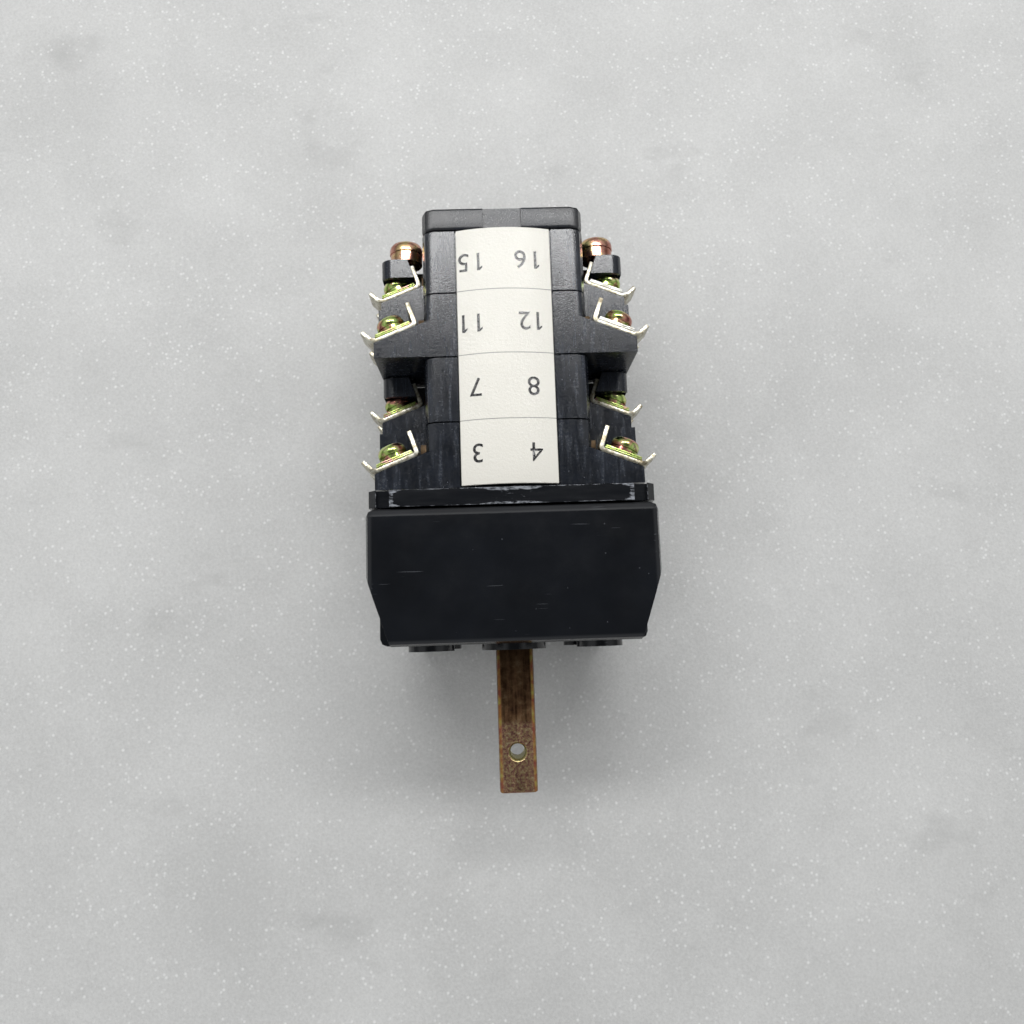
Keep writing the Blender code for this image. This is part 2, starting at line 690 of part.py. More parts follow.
def make_terminal(level, fused):
    """A right-hand terminal with its tongue. The one at level 0 feeds the lower contact."""
    outer, inner = base_ends()
    outer_angle = OUTER_PRONG_BEND - RAMP_ANGLE
    inner_angle = math.pi - RAMP_ANGLE - INNER_PRONG_BEND
    outer_tip = outer + Vector((math.cos(outer_angle), math.sin(outer_angle))) * OUTER_PRONG
    inner_tip = inner + Vector((math.cos(inner_angle), math.sin(inner_angle))) * INNER_PRONG
    half = TERMINAL_WIDTH / 2
    section = bent_strip([outer_tip, outer, inner, inner_tip], TERMINAL_PLATE)
    body = plate("terminal", [section], level - half, level + half)
    tip = TONGUE_GAP / 2
    root = inner.x + 0.6 * TERMINAL_PLATE
    if level:
        pass_level, contact_level = outer_tongue_level(), TONGUE_LEVEL
        step_x = TONGUE_DROP_X - (pass_level - contact_level)
        path = [(root, pass_level), (TONGUE_DROP_X, pass_level), (step_x, contact_level), (tip, contact_level)]
    else:
        contact_level = -TONGUE_LEVEL
        path = [(root, 0), (TONGUE_DROP_X, 0), (TONGUE_DROP_X, contact_level), (tip, contact_level)]
    start = tongue_front()
    tongue = plate("tongue", [bent_strip(path, TONGUE_THICKNESS)], start, start + TONGUE_WIDTH, along="Y")
    face = math.copysign(abs(contact_level) + TONGUE_THICKNESS / 2, contact_level)
    button_end = math.copysign(FIXED_FACE, contact_level)
    middle = start + TONGUE_WIDTH / 2
    button_start = face - math.copysign(TONGUE_THICKNESS / 2, contact_level)
    button = cylinder(
        "contact_button",
        (CONTACT_X, middle, button_start),
        (CONTACT_X, middle, button_end),
        CONTACT_RADIUS,
        None,
        SMALL_SEGMENTS,
    )
    join(body, tongue, button)
    if not fused:
        point, normal = screw_axis(level)
        end = point + normal * 3 * TERMINAL_PLATE
        cut(body, cylinder("screw_hole", point, end, SCREW_HOLE, None, SMALL_SEGMENTS))
    return settled(body, "terminal_shape")


def make_screw(fused):
    """A pan-head screw with its spring washer and clamp plate, along Z from the underside of the clamp."""
    clamp_top = CLAMP_THICKNESS
    washer_top = clamp_top + SPRING_WASHER_THICKNESS
    top = washer_top + SCREW_HEAD_HEIGHT
    clamp_bottom = -2 * SEAT if fused else 0
    shank = -(TERMINAL_PLATE + 2 * SEAT + SCREW_GRIP - SEAT)
    profile = [
        (0, top),
        (SCREW_HEAD_RADIUS * 0.62, top - SCREW_HEAD_HEIGHT * 0.1),
        (SCREW_HEAD_RADIUS, top - SCREW_HEAD_HEIGHT * 0.55),
        (SCREW_HEAD_RADIUS, washer_top),
        (SPRING_WASHER_RADIUS, washer_top),
        (SPRING_WASHER_RADIUS, clamp_top / 2),
        (SCREW_RADIUS, clamp_top / 2),
        (SCREW_RADIUS, shank),
        (0, shank),
    ]
    screw = turned("screw", profile, HEAD_SEGMENTS)
    half_width, half_length = CLAMP_WIDTH / 2, CLAMP_LENGTH / 2
    low, high = (-half_width, -half_length, clamp_bottom), (half_width, half_length, clamp_top)
    join(screw, box("clamp", low, high))
    arm, width = SCREW_RECESS_ARM / 2, SCREW_RECESS_WIDTH / 2
    floor = top - SCREW_RECESS_DEPTH
    across = box("recess_across", (-arm, -width, floor), (arm, width, top + SEAT))
    along = box("recess_along", (-width, -arm, floor), (width, arm, top + SEAT))
    cut(screw, settled(join(across, along), "recess"))
    return settled(screw, "screw_shape")


def screw_matrix(level):
    """Places a screw that stands along Z on the right-hand terminal at a level."""
    point, normal = screw_axis(level)
    seat = point + normal * (TERMINAL_PLATE + 2 * SEAT)
    upright = Vector((0, 0, 1))
    turn = Matrix((upright, normal.cross(upright), normal)).transposed().to_4x4()
    return Matrix.Translation(seat) @ turn


def placed_screw(level, fused, name):
    mesh = finished_mesh(make_screw(fused), name)
    mesh.transform(screw_matrix(level))
    return make_helper(name, mesh)


def make_terminal_meshes():
    """Meshes for both sides and both levels, keyed by (kind, level, side)."""
    meshes = {}
    for level_name, level in (("outer", TERMINAL_PITCH), ("middle", 0.0)):
        bare = make_terminal(level, False)
        screw = placed_screw(level, False, "screw_" + level_name)
        fused = join(make_terminal(level, True), placed_screw(level, True, "fused_screw_" + level_name))
        for kind, shape in (("terminal", bare), ("screw", screw), ("fused", fused)):
            meshes[kind, level_name, 1] = finished_mesh(shape, f"{kind}_{level_name}_right")
            meshes[kind, level_name, -1] = finished_mesh(mirrored(shape), f"{kind}_{level_name}_left")
    return meshes


def cam_radius(angle, hand):
    """Radius of a cam at an angle from Z: spirals under both followers, and circles between them."""
    if angle > math.pi:
        angle -= 2 * math.pi
    lower = angle - math.copysign(math.pi, angle)
    nearest = angle if abs(angle) <= math.pi / 2 else -lower
    limited = max(-CAM_SPIRAL_SPAN, min(CAM_SPIRAL_SPAN, nearest))
    return CAM_RADIUS - hand * TRAVEL_PER_RADIAN * limited


def contact_middle():
    return tongue_front() + TONGUE_WIDTH / 2


def make_cam_mesh(hand):
    """A cam on a hub as long as a block, so that the cams stand end to end on the shaft."""
    middle = contact_middle()
    outline = polar_outline(lambda angle: cam_radius(angle, hand), CAM_FACETS)
    lobe = plate("cam_lobe", [outline], middle - CAM_WIDTH / 2, middle + CAM_WIDTH / 2, along="Y")
    hub_start, hub_end = SEAT / 2, BLOCK_PITCH - SEAT / 2
    join(lobe, cylinder("cam_hub", (0, hub_start, 0), (0, hub_end, 0), HUB_RADIUS, None, HUB_SEGMENTS))
    cut(lobe, square_bore("cam_bore", -SEAT, BLOCK_PITCH + SEAT))
    return finished_mesh(lobe, "cam")


def make_contact_mesh():
    """An upper moving contact: a bridge across the two fixed contacts, on a plunger that meets the cam."""
    middle = contact_middle()
    front, rear = middle - NOSE_WIDTH / 2, middle + NOSE_WIDTH / 2
    centre = (0, CAM_RADIUS + SEAT + NOSE_RADIUS)
    nose = arc(centre, NOSE_RADIUS, math.pi, 2 * math.pi, 2 * CORNER_SEGMENTS + 3)
    nose = [(x, z) for x, z in nose if z < BRIDGE_TOP - THIN_WALL / 2]
    outline = nose + [(NOSE_RADIUS, BRIDGE_TOP), (-NOSE_RADIUS, BRIDGE_TOP)]
    plunger = plate("plunger", [outline], front, rear, along="Y")
    half = TONGUE_GAP / 2 + BRIDGE_OVERLAP
    bridge_front, bridge_rear = middle - TONGUE_WIDTH / 2, middle + TONGUE_WIDTH / 2
    bridge = box("bridge", (-half, bridge_front, BRIDGE_LEVEL), (half, bridge_rear, BRIDGE_TOP))
    guide_top = BRIDGE_TOP + GUIDE_HEIGHT
    tools = [bridge]
    start, end = (0, middle, BRIDGE_LEVEL), (0, middle, guide_top)
    tools.append(cylinder("guide", start, end, GUIDE_RADIUS, None, SMALL_SEGMENTS))
    for side in (-1, 1):
        low = (side * CONTACT_X, middle, BRIDGE_LEVEL - CONTACT_HEIGHT)
        high = (side * CONTACT_X, middle, BRIDGE_LEVEL + BRIDGE_THICKNESS / 2)
        tools.append(cylinder("contact_button", low, high, CONTACT_RADIUS, None, SMALL_SEGMENTS))
    join(plunger, *tools)
    return finished_mesh(plunger, "moving_contact")


def make_spring_mesh():
    """The coil between a moving contact and the column's wall, a helix about Z."""
    low = BRIDGE_TOP + SEAT + SPRING_WIRE / 2
    high = CAVITY_SIDE / 2 - SEAT - SPRING_WIRE / 2
    count = round(SPRING_TURNS * SMALL_SEGMENTS)
    curve = bpy.data.curves.new("contact_spring", "CURVE")
    curve.dimensions = "3D"
    curve.bevel_depth = SPRING_WIRE / 2
    curve.bevel_resolution = 0
    curve.use_fill_caps = True
    spline = curve.splines.new("POLY")
    spline.points.add(count)
    for i, point in enumerate(spline.points):
        angle = 2 * math.pi * SPRING_TURNS * i / count
        height = low + (high - low) * i / count
        x, y = SPRING_RADIUS * math.cos(angle), contact_middle() + SPRING_RADIUS * math.sin(angle)
        point.co = (x, y, height, 1)
    coil = make_helper("contact_spring", curve)
    mesh = finished_mesh(coil, "contact_spring")
    bpy.data.objects.remove(coil)
    weld(mesh)
    return mesh


def flipped(mesh, name):
    """The same mesh turned half round about the shaft."""
    copy = mesh.copy()
    copy.name = name
    copy.transform(Matrix.Rotation(math.pi, 4, "Y"))
    return copy


def make_end_plate(material):
    """The plate that closes the last block and carries the shaft's end."""
    rear = STACK_REAR + END_PLATE_THICKNESS
    outline = rounded_square(COLUMN_SIDE, COLUMN_SIDE, COLUMN_CORNER)
    body = plate("end_body", [outline], STACK_REAR, rear, along="Y")
    bevel(body, END_PLATE_EDGE / 2, 2)
    side = CAVITY_SIDE - 2 * SEAT
    spigot_front = STACK_REAR - END_SPIGOT
    spigot_outline = rounded_square(side, side, COLUMN_CORNER / 2)
    join(body, plate("end_spigot", [spigot_outline], spigot_front, STACK_REAR + THIN_WALL, along="Y"))
    half = END_GROOVE_WIDTH / 2
    top = COLUMN_SIDE / 2
    groove = box("end_groove", (-half, STACK_REAR - SEAT, top - END_GROOVE_DEPTH), (half, rear + SEAT, top + SEAT))
    bore = cylinder("end_bore", (0, spigot_front - SEAT, 0), (0, SHAFT_END + SEAT, 0), SHAFT_BORE)
    hub = cylinder("end_hub_bore", (0, spigot_front - SEAT, 0), (0, STACK_REAR + SEAT, 0), HUB_BORE)
    cut(body, groove, bore, hub)
    return place_part("end_plate", finished_mesh(body, "end_plate"), material)


def make_label(material):
    """The arched strip of terminal numbers along the top of the blocks."""
    half = LABEL_WIDTH / 2
    radius = (half**2 + LABEL_CROWN**2) / (2 * LABEL_CROWN)
    foot = COLUMN_SIDE / 2 - LABEL_RECESS + SEAT
    centre = (0, foot + LABEL_CROWN - radius)
    spread = math.asin(half / radius)
    under = arc(centre, radius, math.pi / 2 + spread, math.pi / 2 - spread, 4 * CORNER_SEGMENTS + 1)
    outline = [(x, z + LABEL_THICKNESS) for x, z in under] + under[::-1]
    strip = plate("label", [outline], STACK_FRONT + SEAT, STACK_REAR - SEAT, along="Y")
    return place_part("label_strip", finished_mesh(strip, "label_strip"), material)


def seated_behind(source, name):
    """A fastener's mesh, turned from Z to Y and seated behind the last block."""
    mesh = finished_mesh(source, name)
    mesh.transform(Matrix.Translation((0, BOLT_SEAT, 0)) @ Matrix.Rotation(-math.pi / 2, 4, "X"))
    return mesh


def make_rod_mesh():
    """A tie rod from the housing to its low head behind the last block."""
    length = BOLT_SEAT - (HOUSING_LENGTH - BOLT_GRIP)
    profile = [
        (0, ROD_HEAD_HEIGHT),
        (ROD_HEAD_RADIUS * 0.7, ROD_HEAD_HEIGHT),
        (ROD_HEAD_RADIUS, ROD_HEAD_HEIGHT / 2),
        (ROD_HEAD_RADIUS, 0),
        (BOLT_RADIUS, 0),
        (BOLT_RADIUS, -length),
        (0, -length),
    ]
    return seated_behind(turned("rod", profile, HEAD_SEGMENTS), "tie_rod")


def make_lug_screw_mesh():
    """A pan-head screw on its washers, in a rear lug of the last block."""
    washer = LUG_WASHER_THICKNESS
    top = washer + LUG_HEAD_HEIGHT
    profile = [
        (0, top),
        (LUG_HEAD_RADIUS * 0.6, top - LUG_HEAD_HEIGHT * 0.08),
        (LUG_HEAD_RADIUS * 0.9, top - LUG_HEAD_HEIGHT * 0.3),
        (LUG_HEAD_RADIUS, top - LUG_HEAD_HEIGHT * 0.6),
        (LUG_HEAD_RADIUS, washer),
        (LUG_WASHER_RADIUS, washer),
        (LUG_WASHER_RADIUS, washer / 2),
        (LUG_HEAD_RADIUS, washer / 2),
        (LUG_HEAD_RADIUS, 0),
        (LUG_SCREW_RADIUS, 0),
        (LUG_SCREW_RADIUS, -LUG_SCREW_GRIP),
        (0, -LUG_SCREW_GRIP),
    ]
    screw = turned("lug_screw", profile, HUB_SEGMENTS)
    arm, width = SCREW_RECESS_ARM / 2, SCREW_RECESS_WIDTH / 2
    floor = top - SCREW_RECESS_DEPTH
    across = box("recess_across", (-arm, -width, floor), (arm, width, top + SEAT))
    along = box("recess_along", (-width, -arm, floor), (width, arm, top + SEAT))
    cut(screw, settled(join(across, along), "recess"))
    return seated_behind(screw, "lug_screw")


def detent_radius(angle):
    return DETENT_RADIUS - DETENT_LIFT * math.cos(DETENT_NOTCHES * angle)


def make_detent_wheel(material, parent):
    """The notched wheel that gives the switch its positions, with a lug between the stop posts."""
    outline = polar_outline(detent_radius, 8 * DETENT_NOTCHES)
    wheel = plate("wheel", [outline], DETENT_FRONT, DETENT_REAR, along="Y")
    near, far = math.pi - STOP_HALF_ANGLE, math.pi + STOP_HALF_ANGLE
    ends = ((HUB_RADIUS, near), (STOP_REACH, near), (STOP_REACH, far), (HUB_RADIUS, far))
    lug_outline = [(radius * math.sin(angle), radius * math.cos(angle)) for radius, angle in ends]
    lug = plate("stop_lug", [lug_outline], DETENT_FRONT, DETENT_REAR, along="Y")
    hub_end = (0, DETENT_REAR + SEAT, 0)
    hub = cylinder("wheel_hub", (0, FRONT_WALL + SEAT, 0), hub_end, HUB_RADIUS, None, HUB_SEGMENTS)
    join(wheel, lug, hub)
    cut(wheel, square_bore("wheel_bore", 0, HOUSING_LENGTH))
    return place_part("detent_wheel", finished_mesh(wheel, "detent_wheel"), material, parent)


def make_detent_spring(material):
    """The bowed leaf between the housing's top wall and a notch of the wheel."""
    roof = HOUSING_WIDTH / 2 - HOUSING_WALL - SEAT - LEAF_THICKNESS / 2
    nose = detent_radius(0) + SEAT + LEAF_THICKNESS
    shoulder = DETENT_RADIUS + 2 * DETENT_LIFT
    foot = LEAF_HALF_SPAN - LEAF_FOOT
    right = [(LEAF_HALF_SPAN, roof), (foot, roof)]
    right += [(LEAF_HALF_SPAN / 3, shoulder + DETENT_LIFT), (DETENT_LIFT * 2, shoulder)]
    path = right + [(0, nose)] + [(-x, z) for x, z in right[::-1]]
    middle = (DETENT_FRONT + DETENT_REAR) / 2
    front, rear = middle - LEAF_WIDTH / 2, middle + LEAF_WIDTH / 2
    leaf = plate("leaf", [bent_strip(path, LEAF_THICKNESS)], front, rear, along="Y")
    return place_part("detent_spring", finished_mesh(leaf, "detent_spring"), material)


def make_clip(material, parent):
    """The open ring that holds the detent wheel on the shaft."""
    inner = SHAFT_SWEEP + SEAT
    outer = inner + CLIP_RIM
    start, end = CLIP_OPENING / 2, 2 * math.pi - CLIP_OPENING / 2
    outline = arc((0, 0), outer, start, end, ROUND_SEGMENTS) + arc((0, 0), inner, end, start, ROUND_SEGMENTS)
    front = DETENT_REAR + 2 * SEAT
    clip = plate("clip", [outline], front, front + CLIP_THICKNESS, along="Y")
    return place_part("shaft_circlip", finished_mesh(clip, "shaft_circlip"), material, parent)


def terminal_number(block, row, side):
    """The number beside a terminal: the upper row holds 3 and 4, the lower 1 and 2, then up by fours."""
    first = 4 * block + (3 if row == "upper" else 1)
    return first + (1 if side > 0 else 0)


def add_block(index, meshes, materials, shaft):
    """One stage of the switch: its block, terminals, cam and moving contacts."""
    turned_round = index % 2 == 1
    number = index + 1
    start = STACK_FRONT + index * BLOCK_PITCH
    rotation = (0, math.pi if turned_round else 0, 0)
    stage = place_empty(f"stage_{number}", (0, start, 0), rotation)
    place_part(f"contact_block_{number}", meshes["block", turned_round], materials["moulding"], stage)
    for level in ("outer", "middle"):
        row = "upper" if (level == "outer") != turned_round else "lower"
        for side in (-1, 1):
            seen_side = -side if turned_round else side
            label = terminal_number(index, row, seen_side)
            kind = "terminal" if row == "upper" else "fused"
            place_part(f"terminal_{label}", meshes[kind, level, side], materials["terminal"], stage)
            if row == "upper":
                place_part(f"terminal_screw_{label}", meshes["screw", level, side], materials["screw"], stage)
    hand = -1 if turned_round else 1
    place_part(f"cam_{number}", meshes["cam", hand], materials["cam"], shaft, (0, start, 0))
    for row in ("upper", "lower"):
        name = f"moving_contact_{number}_{row}"
        place_part(name, meshes["contact", row], materials["contact"], None, (0, start, 0))
        spring = f"contact_spring_{number}_{row}"
        place_part(spring, meshes["spring", row], materials["spring"], None, (0, start, 0))


def make_materials():
    return {
        "housing": make_material("housing_black", (0.022, 0.025, 0.032), 0.3),
        "moulding": make_material("moulding_black", (0.05, 0.055, 0.068), 0.5),
        "label": make_material("label_cream", (0.8, 0.78, 0.7), 0.45),
        "shaft": make_material("chromated_steel", (0.34, 0.22, 0.1), 0.35, 1.0),
        "terminal": make_material("tinned_terminal", (0.72, 0.71, 0.66), 0.3, 1.0),
        "screw": make_material("chromated_screw", (0.55, 0.56, 0.25), 0.3, 1.0),
        "bolt": make_material("copper_plated_bolt", (0.6, 0.36, 0.2), 0.25, 1.0),
        "cam": make_material("cam_white", (0.75, 0.74, 0.7), 0.5),
        "contact": make_material("contact_copper", (0.72, 0.42, 0.26), 0.35, 1.0),
        "spring": make_material("spring_steel", (0.6, 0.6, 0.6), 0.3, 1.0),
    }


def build():
    clear_scene()
    new_collection(PARTS)
    new_collection(HELPERS)
    materials = make_materials()
    make_housing(materials["housing"])
    make_cover(materials["housing"])
    make_end_plate(materials["moulding"])
    make_label(materials["label"])

    shaft_axis = place_empty("shaft_axis")
    make_shaft(materials["shaft"], shaft_axis)
    make_detent_wheel(materials["cam"], shaft_axis)
    make_detent_spring(materials["spring"])
    make_clip(materials["spring"], shaft_axis)

    meshes = make_terminal_meshes()
    for turned_round in (False, True):
        meshes["block", turned_round] = make_block_mesh(turned_round)
    for hand in (-1, 1):
        meshes["cam", hand] = make_cam_mesh(hand)
    meshes["contact", "upper"] = make_contact_mesh()
    meshes["contact", "lower"] = flipped(meshes["contact", "upper"], "moving_contact_lower")
    meshes["spring", "upper"] = make_spring_mesh()
    meshes["spring", "lower"] = flipped(meshes["spring", "upper"], "contact_spring_lower")
    for index in range(BLOCK_COUNT):
        add_block(index, meshes, materials, shaft_axis)

    rod, lug_screw = make_rod_mesh(), make_lug_screw_mesh()
    for side, name in ((-1, "left"), (1, "right")):
        place = (side * BOLT_X, 0, -BOLT_LEVEL)
        place_part(f"tie_rod_{name}", rod, materials["bolt"], None, place)
        place_part(f"lug_screw_{name}", lug_screw, materials["bolt"], None, (side * LUG_SCREW_X, 0, 0))


build()
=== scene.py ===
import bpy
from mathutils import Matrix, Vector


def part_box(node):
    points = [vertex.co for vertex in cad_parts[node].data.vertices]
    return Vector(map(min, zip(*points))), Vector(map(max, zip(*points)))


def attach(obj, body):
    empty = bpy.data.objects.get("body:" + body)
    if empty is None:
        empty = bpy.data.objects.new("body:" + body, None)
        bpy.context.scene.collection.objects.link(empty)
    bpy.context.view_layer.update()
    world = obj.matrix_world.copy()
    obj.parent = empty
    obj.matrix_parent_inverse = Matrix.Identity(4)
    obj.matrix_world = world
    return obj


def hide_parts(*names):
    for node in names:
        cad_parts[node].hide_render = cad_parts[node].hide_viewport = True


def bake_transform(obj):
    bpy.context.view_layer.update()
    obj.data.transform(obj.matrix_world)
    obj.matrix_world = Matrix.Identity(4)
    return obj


bl_info = {
    "name": "Rotary cam switch looks",
    "version": (1, 0, 0),
    "blender": (4, 5, 0),
    "location": "3D Viewport > Sidebar > Cam Switch",
    "description": "Dresses a rotary cam switch in moulded plastic, plated metal and a numbered label",
    "category": "Object",
}

import math

import bmesh
import bpy
from mathutils import Matrix, Vector

MM = 0.001
BODY = "switch_body"
SHAFT = "shaft"
BLOCKS = (1, 2, 3, 4)
SHAFT_HALF = 4.0 * MM
PIN_HOLE_Y = -23.0 * MM
FLOOR_REACH = 3.0
WELD = 0.002 * MM  # vertices nearer than this become one
FIGURE_SHARE = 0.73  # a figure's height as a share of the font's size

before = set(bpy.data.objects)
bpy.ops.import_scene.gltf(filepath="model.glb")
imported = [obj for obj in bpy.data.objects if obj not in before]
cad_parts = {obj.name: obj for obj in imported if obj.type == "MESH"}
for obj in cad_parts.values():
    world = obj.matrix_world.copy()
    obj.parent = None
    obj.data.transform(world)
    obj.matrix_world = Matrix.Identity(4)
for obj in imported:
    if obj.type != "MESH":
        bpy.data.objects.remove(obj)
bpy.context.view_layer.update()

HOUSING_LOW, HOUSING_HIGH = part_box("mechanism_housing")
LABEL_LOW, LABEL_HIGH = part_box("label_strip")
BLOCK_STARTS = [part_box(f"contact_block_{number}")[0].y for number in BLOCKS]
BLOCK_PITCH = BLOCK_STARTS[1] - BLOCK_STARTS[0]

# A terminal's slope, the way its screw points, and the heights of the two levels of terminals
SLOPE = math.radians(22.0)
SCREW_NORMAL = Vector((math.sin(SLOPE), math.cos(SLOPE), 0.0))
LEVELS = {"outer": 12.7 * MM, "middle": 0.0}


# Settings that a user would change

class SwitchSizes(bpy.types.PropertyGroup):
    """Sizes of the pieces that are added to the switch"""

    edge: bpy.props.FloatProperty(
        name="Moulded edge", description="Rounding of the mouldings' edges",
        default=0.22 * MM, unit="LENGTH",
    )
    plate: bpy.props.FloatProperty(
        name="Terminal plate", description="Thickness of the terminals' plate",
        default=0.95 * MM, unit="LENGTH",
    )
    bend: bpy.props.FloatProperty(
        name="Terminal bend", description="Length over which a terminal's bend is rounded",
        default=1.1 * MM, unit="LENGTH",
    )
    head_radius: bpy.props.FloatProperty(
        name="Screw head", description="Radius of the terminal screws' heads",
        default=3.05 * MM, unit="LENGTH",
    )
    lug_head_radius: bpy.props.FloatProperty(
        name="Lug screw head", description="Radius of the heads of the rear lug screws",
        default=3.85 * MM, unit="LENGTH",
    )
    figure_height: bpy.props.FloatProperty(
        name="Figure height", description="Height of the numbers on the label",
        default=4.15 * MM, unit="LENGTH",
    )


class SwitchColours(bpy.types.PropertyGroup):
    """Colours of the switch's finishes"""

    housing: bpy.props.FloatVectorProperty(
        name="Housing", description="Glossy moulding of the housing", subtype="COLOR",
        default=(0.0042, 0.005, 0.0068),
    )
    moulding: bpy.props.FloatVectorProperty(
        name="Blocks", description="Satin moulding of the contact blocks", subtype="COLOR",
        default=(0.0075, 0.0095, 0.014),
    )
    label: bpy.props.FloatVectorProperty(
        name="Label", description="Cream plastic of the label", subtype="COLOR",
        default=(0.75, 0.73, 0.665),
    )
    figures: bpy.props.FloatVectorProperty(
        name="Figures", description="Ink of the numbers", subtype="COLOR",
        default=(0.006, 0.006, 0.007),
    )
    floor: bpy.props.FloatVectorProperty(
        name="Floor", description="Pale table under the switch", subtype="COLOR",
        default=(0.53, 0.53, 0.52),
    )


# Materials

class Recipe:
    """A node material under construction, with Object coordinates as its ground."""

    def __init__(self, name, roughness, metallic=0.0):
        self.material = bpy.data.materials.new(name)
        self.material.use_nodes = True
        self.tree = self.material.node_tree
        self.shader = self.tree.nodes["Principled BSDF"]
        self.shader.inputs["Roughness"].default_value = roughness
        self.shader.inputs["Metallic"].default_value = metallic
        self.place = self.tree.nodes.new("ShaderNodeTexCoord").outputs["Object"]

    def link(self, source, target):
        self.tree.links.new(source, target)

    def stretched(self, scale):
        """Object coordinates, scaled along each axis."""
        node = self.tree.nodes.new("ShaderNodeMapping")
        node.inputs["Scale"].default_value = scale
        self.link(self.place, node.inputs["Vector"])
        return node.outputs["Vector"]

    def noise(self, scale, detail=3.0, roughness=0.5, where=None):
        node = self.tree.nodes.new("ShaderNodeTexNoise")
        node.inputs["Scale"].default_value = scale
        node.inputs["Detail"].default_value = detail
        node.inputs["Roughness"].default_value = roughness
        self.link(where or self.place, node.inputs["Vector"])
        return node.outputs["Fac"]

    def cells(self, scale):
        """Distance to the nearest of many scattered points."""
        node = self.tree.nodes.new("ShaderNodeTexVoronoi")
        node.inputs["Scale"].default_value = scale
        self.link(self.place, node.inputs["Vector"])
        return node.outputs["Distance"]

    def ramp(self, value, stops):
        node = self.tree.nodes.new("ShaderNodeValToRGB")
        elements = node.color_ramp.elements
        while len(elements) < len(stops):
            elements.new(0.5)
        for element, (position, colour) in zip(elements, stops):
            element.position = position
            element.color = (*colour, 1.0) if isinstance(colour, tuple) else (*[colour] * 3, 1.0)
        self.link(value, node.inputs["Fac"])
        return node.outputs["Color"]

    def scaled(self, value, low, high, to_low, to_high):
        node = self.tree.nodes.new("ShaderNodeMapRange")
        limits = {"From Min": low, "From Max": high, "To Min": to_low, "To Max": to_high}
        for name, number in limits.items():
            node.inputs[name].default_value = number
        self.link(value, node.inputs["Value"])
        return node.outputs["Result"]

    def calc(self, first, second, operation="ADD"):
        """A sum, or what another operation of the Math node makes of two values."""
        node = self.tree.nodes.new("ShaderNodeMath")
        node.operation = operation
        node.use_clamp = operation != "SUBTRACT"
        for value, socket in ((first, node.inputs[0]), (second, node.inputs[1])):
            if isinstance(value, (int, float)):
                socket.default_value = value
            else:
                self.link(value, socket)
        return node.outputs["Value"]

    def axis(self, letter):
        """One Object coordinate, in metres."""
        node = self.tree.nodes.new("ShaderNodeSeparateXYZ")
        self.link(self.place, node.inputs["Vector"])
        return node.outputs[letter]

    def mix(self, amount, first, second):
        node = self.tree.nodes.new("ShaderNodeMix")
        node.data_type = "RGBA"
        for value, name in ((amount, "Factor"), (first, "A"), (second, "B")):
            socket = self.colour_socket(node, name)
            if isinstance(value, tuple):
                socket.default_value = (*value, 1.0)
            elif isinstance(value, (int, float)):
                socket.default_value = value
            else:
                self.link(value, socket)
        return self.colour_output(node)

    @staticmethod
    def colour_socket(node, name):
        """The mix node has a socket of each kind by one name; this is the one in use."""
        return next(socket for socket in node.inputs if socket.name == name and socket.enabled)

    @staticmethod
    def colour_output(node):
        return next(socket for socket in node.outputs if socket.enabled)

    def colour(self, value):
        self.link(value, self.shader.inputs["Base Color"])

    def gloss(self, value):
        self.link(value, self.shader.inputs["Roughness"])

    def shine(self, level):
        self.shader.inputs["Specular IOR Level"].default_value = level

    def bump(self, height, distance, strength):
        node = self.tree.nodes.new("ShaderNodeBump")
        node.inputs["Strength"].default_value = strength
        node.inputs["Distance"].default_value = distance
        self.link(height, node.inputs["Height"])
        self.link(node.outputs["Normal"], self.shader.inputs["Normal"])


def colours():
    return bpy.context.scene.switch_colours


def sizes():
    return bpy.context.scene.switch_sizes


def once(function):
    """Keeps the material that a function makes, so that pieces of one finish share it."""
    made = {}

    def call():
        if function.__name__ not in made:
            made[function.__name__] = function()
        return made[function.__name__]

    return call


def toned(colour, factor):
    """A colour made darker by a factor below 1, or lighter above it."""
    return tuple(min(1.0, channel * factor) for channel in colour)


def dust_and_scratches(recipe):
    """A mask of sparse specks and of short fine scratches."""
    specks = recipe.ramp(recipe.cells(330.0), [(0.0, 1.0), (0.03, 1.0), (0.06, 0.0)])
    thin = recipe.noise(90.0, 2.0, 0.5, recipe.stretched((1.0, 26.0, 26.0)))
    places = recipe.ramp(recipe.noise(120.0, 1.0), [(0.6, 0.0), (0.7, 1.0)])
    lines = recipe.ramp(thin, [(0.685, 0.0), (0.7, 1.0)])
    return recipe.calc(specks, recipe.calc(lines, places, "MULTIPLY"))


@once
def glossy_housing():
    base = tuple(colours().housing)
    recipe = Recipe("Glossy housing", 0.22)
    cloudy = recipe.noise(70.0, 3.0)
    shade = recipe.ramp(cloudy, [(0.3, toned(base, 0.8)), (0.7, toned(base, 1.4))])
    faint = recipe.calc(dust_and_scratches(recipe), 0.22, "MULTIPLY")
    # Painted highlight: the side chamfers are lightened towards pale grey, the right one more than the
    # left.
    across = recipe.axis("X")
    left_chamfer_highlight = recipe.scaled(across, -27.9 * MM, -28.6 * MM, 0.0, 0.04)
    right_chamfer_highlight = recipe.scaled(across, 27.6 * MM, 28.3 * MM, 0.0, 0.09)
    chamfer_highlights = recipe.mix(recipe.calc(left_chamfer_highlight, right_chamfer_highlight), shade, (0.42, 0.43, 0.47))
    recipe.colour(recipe.mix(faint, chamfer_highlights, (0.19, 0.2, 0.22)))
    smear = recipe.noise(160.0, 4.0, 0.6)
    dull_rear = recipe.scaled(
        recipe.axis("Y"), HOUSING_HIGH.y - 1.7 * MM, HOUSING_HIGH.y - 1.1 * MM, 0.0, 0.6,
    )
    recipe.gloss(recipe.calc(recipe.scaled(smear, 0.3, 0.7, 0.12, 0.22), dull_rear))
    recipe.bump(recipe.noise(2600.0, 2.0), 0.01 * MM, 0.25)
    return recipe.material


